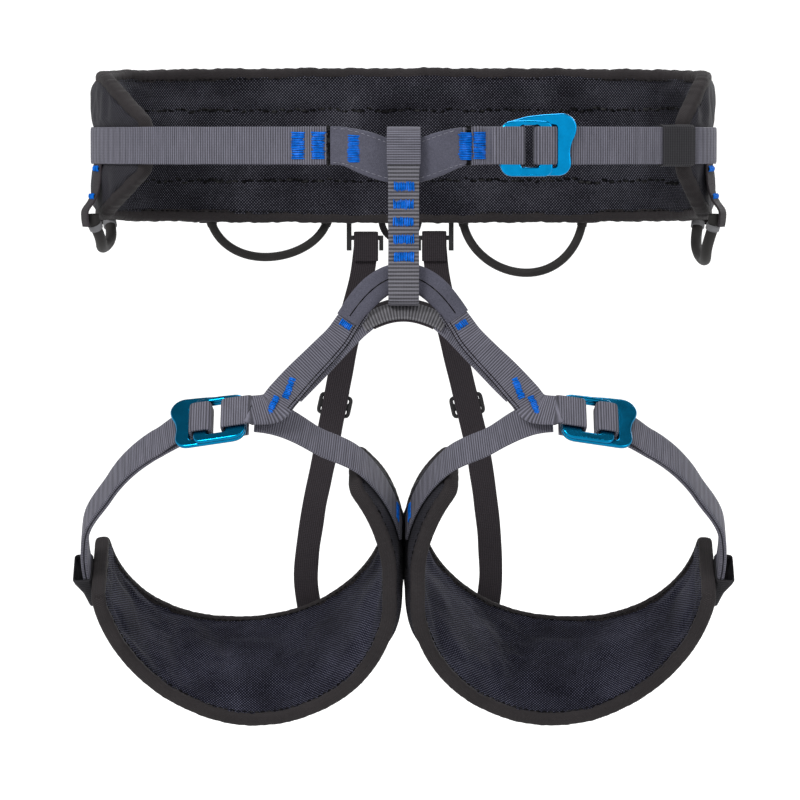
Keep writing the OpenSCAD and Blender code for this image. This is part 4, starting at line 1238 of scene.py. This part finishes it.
# ---------------------------------------------------------------- studio
FLOOR_GAP, FLOOR_RADIUS, FLOOR_BEND, WALL_TOP = 0.035, 3.0, 0.9, 3.2
# name: place, what it is aimed at, size and power
LAMPS = {"key": ((-1.2, -1.7, 1.35), (0, 0, -0.1), (0.8, 0.8), 44.0),
         "fill": ((1.7, -1.4, 0.5), (0, 0, -0.15), (0.8, 1.2), 10.0),
         "top": ((0.1, 0.4, 1.9), (0, 0, -0.1), (1.4, 0.9), 30.0),
         "rim": ((0.9, 1.5, 0.5), (0, 0, -0.1), (0.8, 0.8), 10.0)}


def placed(name, data, place, aim):
    obj = bpy.data.objects.new(name, data)
    bpy.context.scene.collection.objects.link(obj)
    obj.location = place
    obj.rotation_euler = (Vector(aim) - Vector(place)).to_track_quat("-Z", "Y").to_euler()
    return obj


def studio():
    """Camera, lamps and a white bowl of paper, all in metres."""
    scene = bpy.context.scene
    scene.camera = placed("camera", bpy.data.cameras.new("camera"), (0.0, -2.5, 0.0), (-0.002, 0.0, -0.140))
    scene.camera.data.lens = 204.5

    turn = deg(np.linspace(0, 90, 14))
    wall = FLOOR_RADIUS + FLOOR_BEND
    out = np.concatenate([np.linspace(0.05, FLOOR_RADIUS - 0.1, 8), FLOOR_RADIUS + FLOOR_BEND * np.sin(turn),
                          np.full(5, wall)])
    rise = np.concatenate([np.zeros(8), FLOOR_BEND * (1 - np.cos(turn)),
                           np.linspace(FLOOR_BEND + 0.2, WALL_TOP, 5)]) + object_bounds()[0][2] - FLOOR_GAP
    spin = deg(np.arange(0, 360, 7.5))
    grid = np.stack([out[:, None] * np.cos(spin), out[:, None] * np.sin(spin),
                     np.broadcast_to(rise[:, None], (len(out), len(spin)))], axis=-1)
    faces = grid_faces(len(out), len(spin)) + [list(range(len(spin)))[::-1]]
    floor = make_object("studio_floor", grid.reshape(-1, 3) / MM, faces)
    paper = Shader("studio_paper", Specular_IOR_Level=0.1, Emission_Color=(1.0, 1.0, 1.0, 1.0),
                   Emission_Strength=0.9)
    grain = paper.noise(400.0, 2.0)
    colour = paper.ramp(grain, (0.2, (0.26, 0.26, 0.26)), (0.8, (0.30, 0.30, 0.30)))
    floor.data.materials.append(paper.finish(colour, grain, 0.02, 0.05, 0.95))
    floor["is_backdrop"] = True

    for name, (place, aim, size, power) in LAMPS.items():
        light = bpy.data.lights.new(name, "AREA")
        light.shape = "RECTANGLE"
        light.size, light.size_y = size
        light.energy = power
        placed(name, light, place, aim)
    world = bpy.data.worlds.new("studio")
    world.use_nodes = True
    background = world.node_tree.nodes["Background"]
    background.inputs["Color"].default_value = (1.0, 1.0, 1.0, 1.0)
    background.inputs["Strength"].default_value = 0.3
    scene.world = world
    scene.view_settings.view_transform = "Standard"


# ---------------------------------------------------------------- assembly
studio()
padded_panel("waist_", WAIST_PATCH, "waist_belt", "lining", 7.4, 3)
waist_webbing()
tie_in_sleeve()
waist_tacks()
buckle("waist_buckle", ("waist_belt", "waist_slider"), WAIST_FRAME, "waist_buckle")
belay_loop()
arch_sleeve()
bridge()
gear_loops()
haul_loop()
hangers()
keepers()
for side, pad_seed in (("left", 5), ("right", 8)):
    padded_panel(side + "_leg_", LEG_PATCH, side + "_leg_loop", "leg_lining", 5.4, pad_seed, side == "left")
    leg_front_strap(side)
    leg_straps(side)
    leg_tacks(side)
    riser(side)
    buckle(side + "_leg_buckle", (side + "_leg_loop", side + "_leg_slider"), LEG_FRAME, "leg_buckle",
           mirror=side == "left")
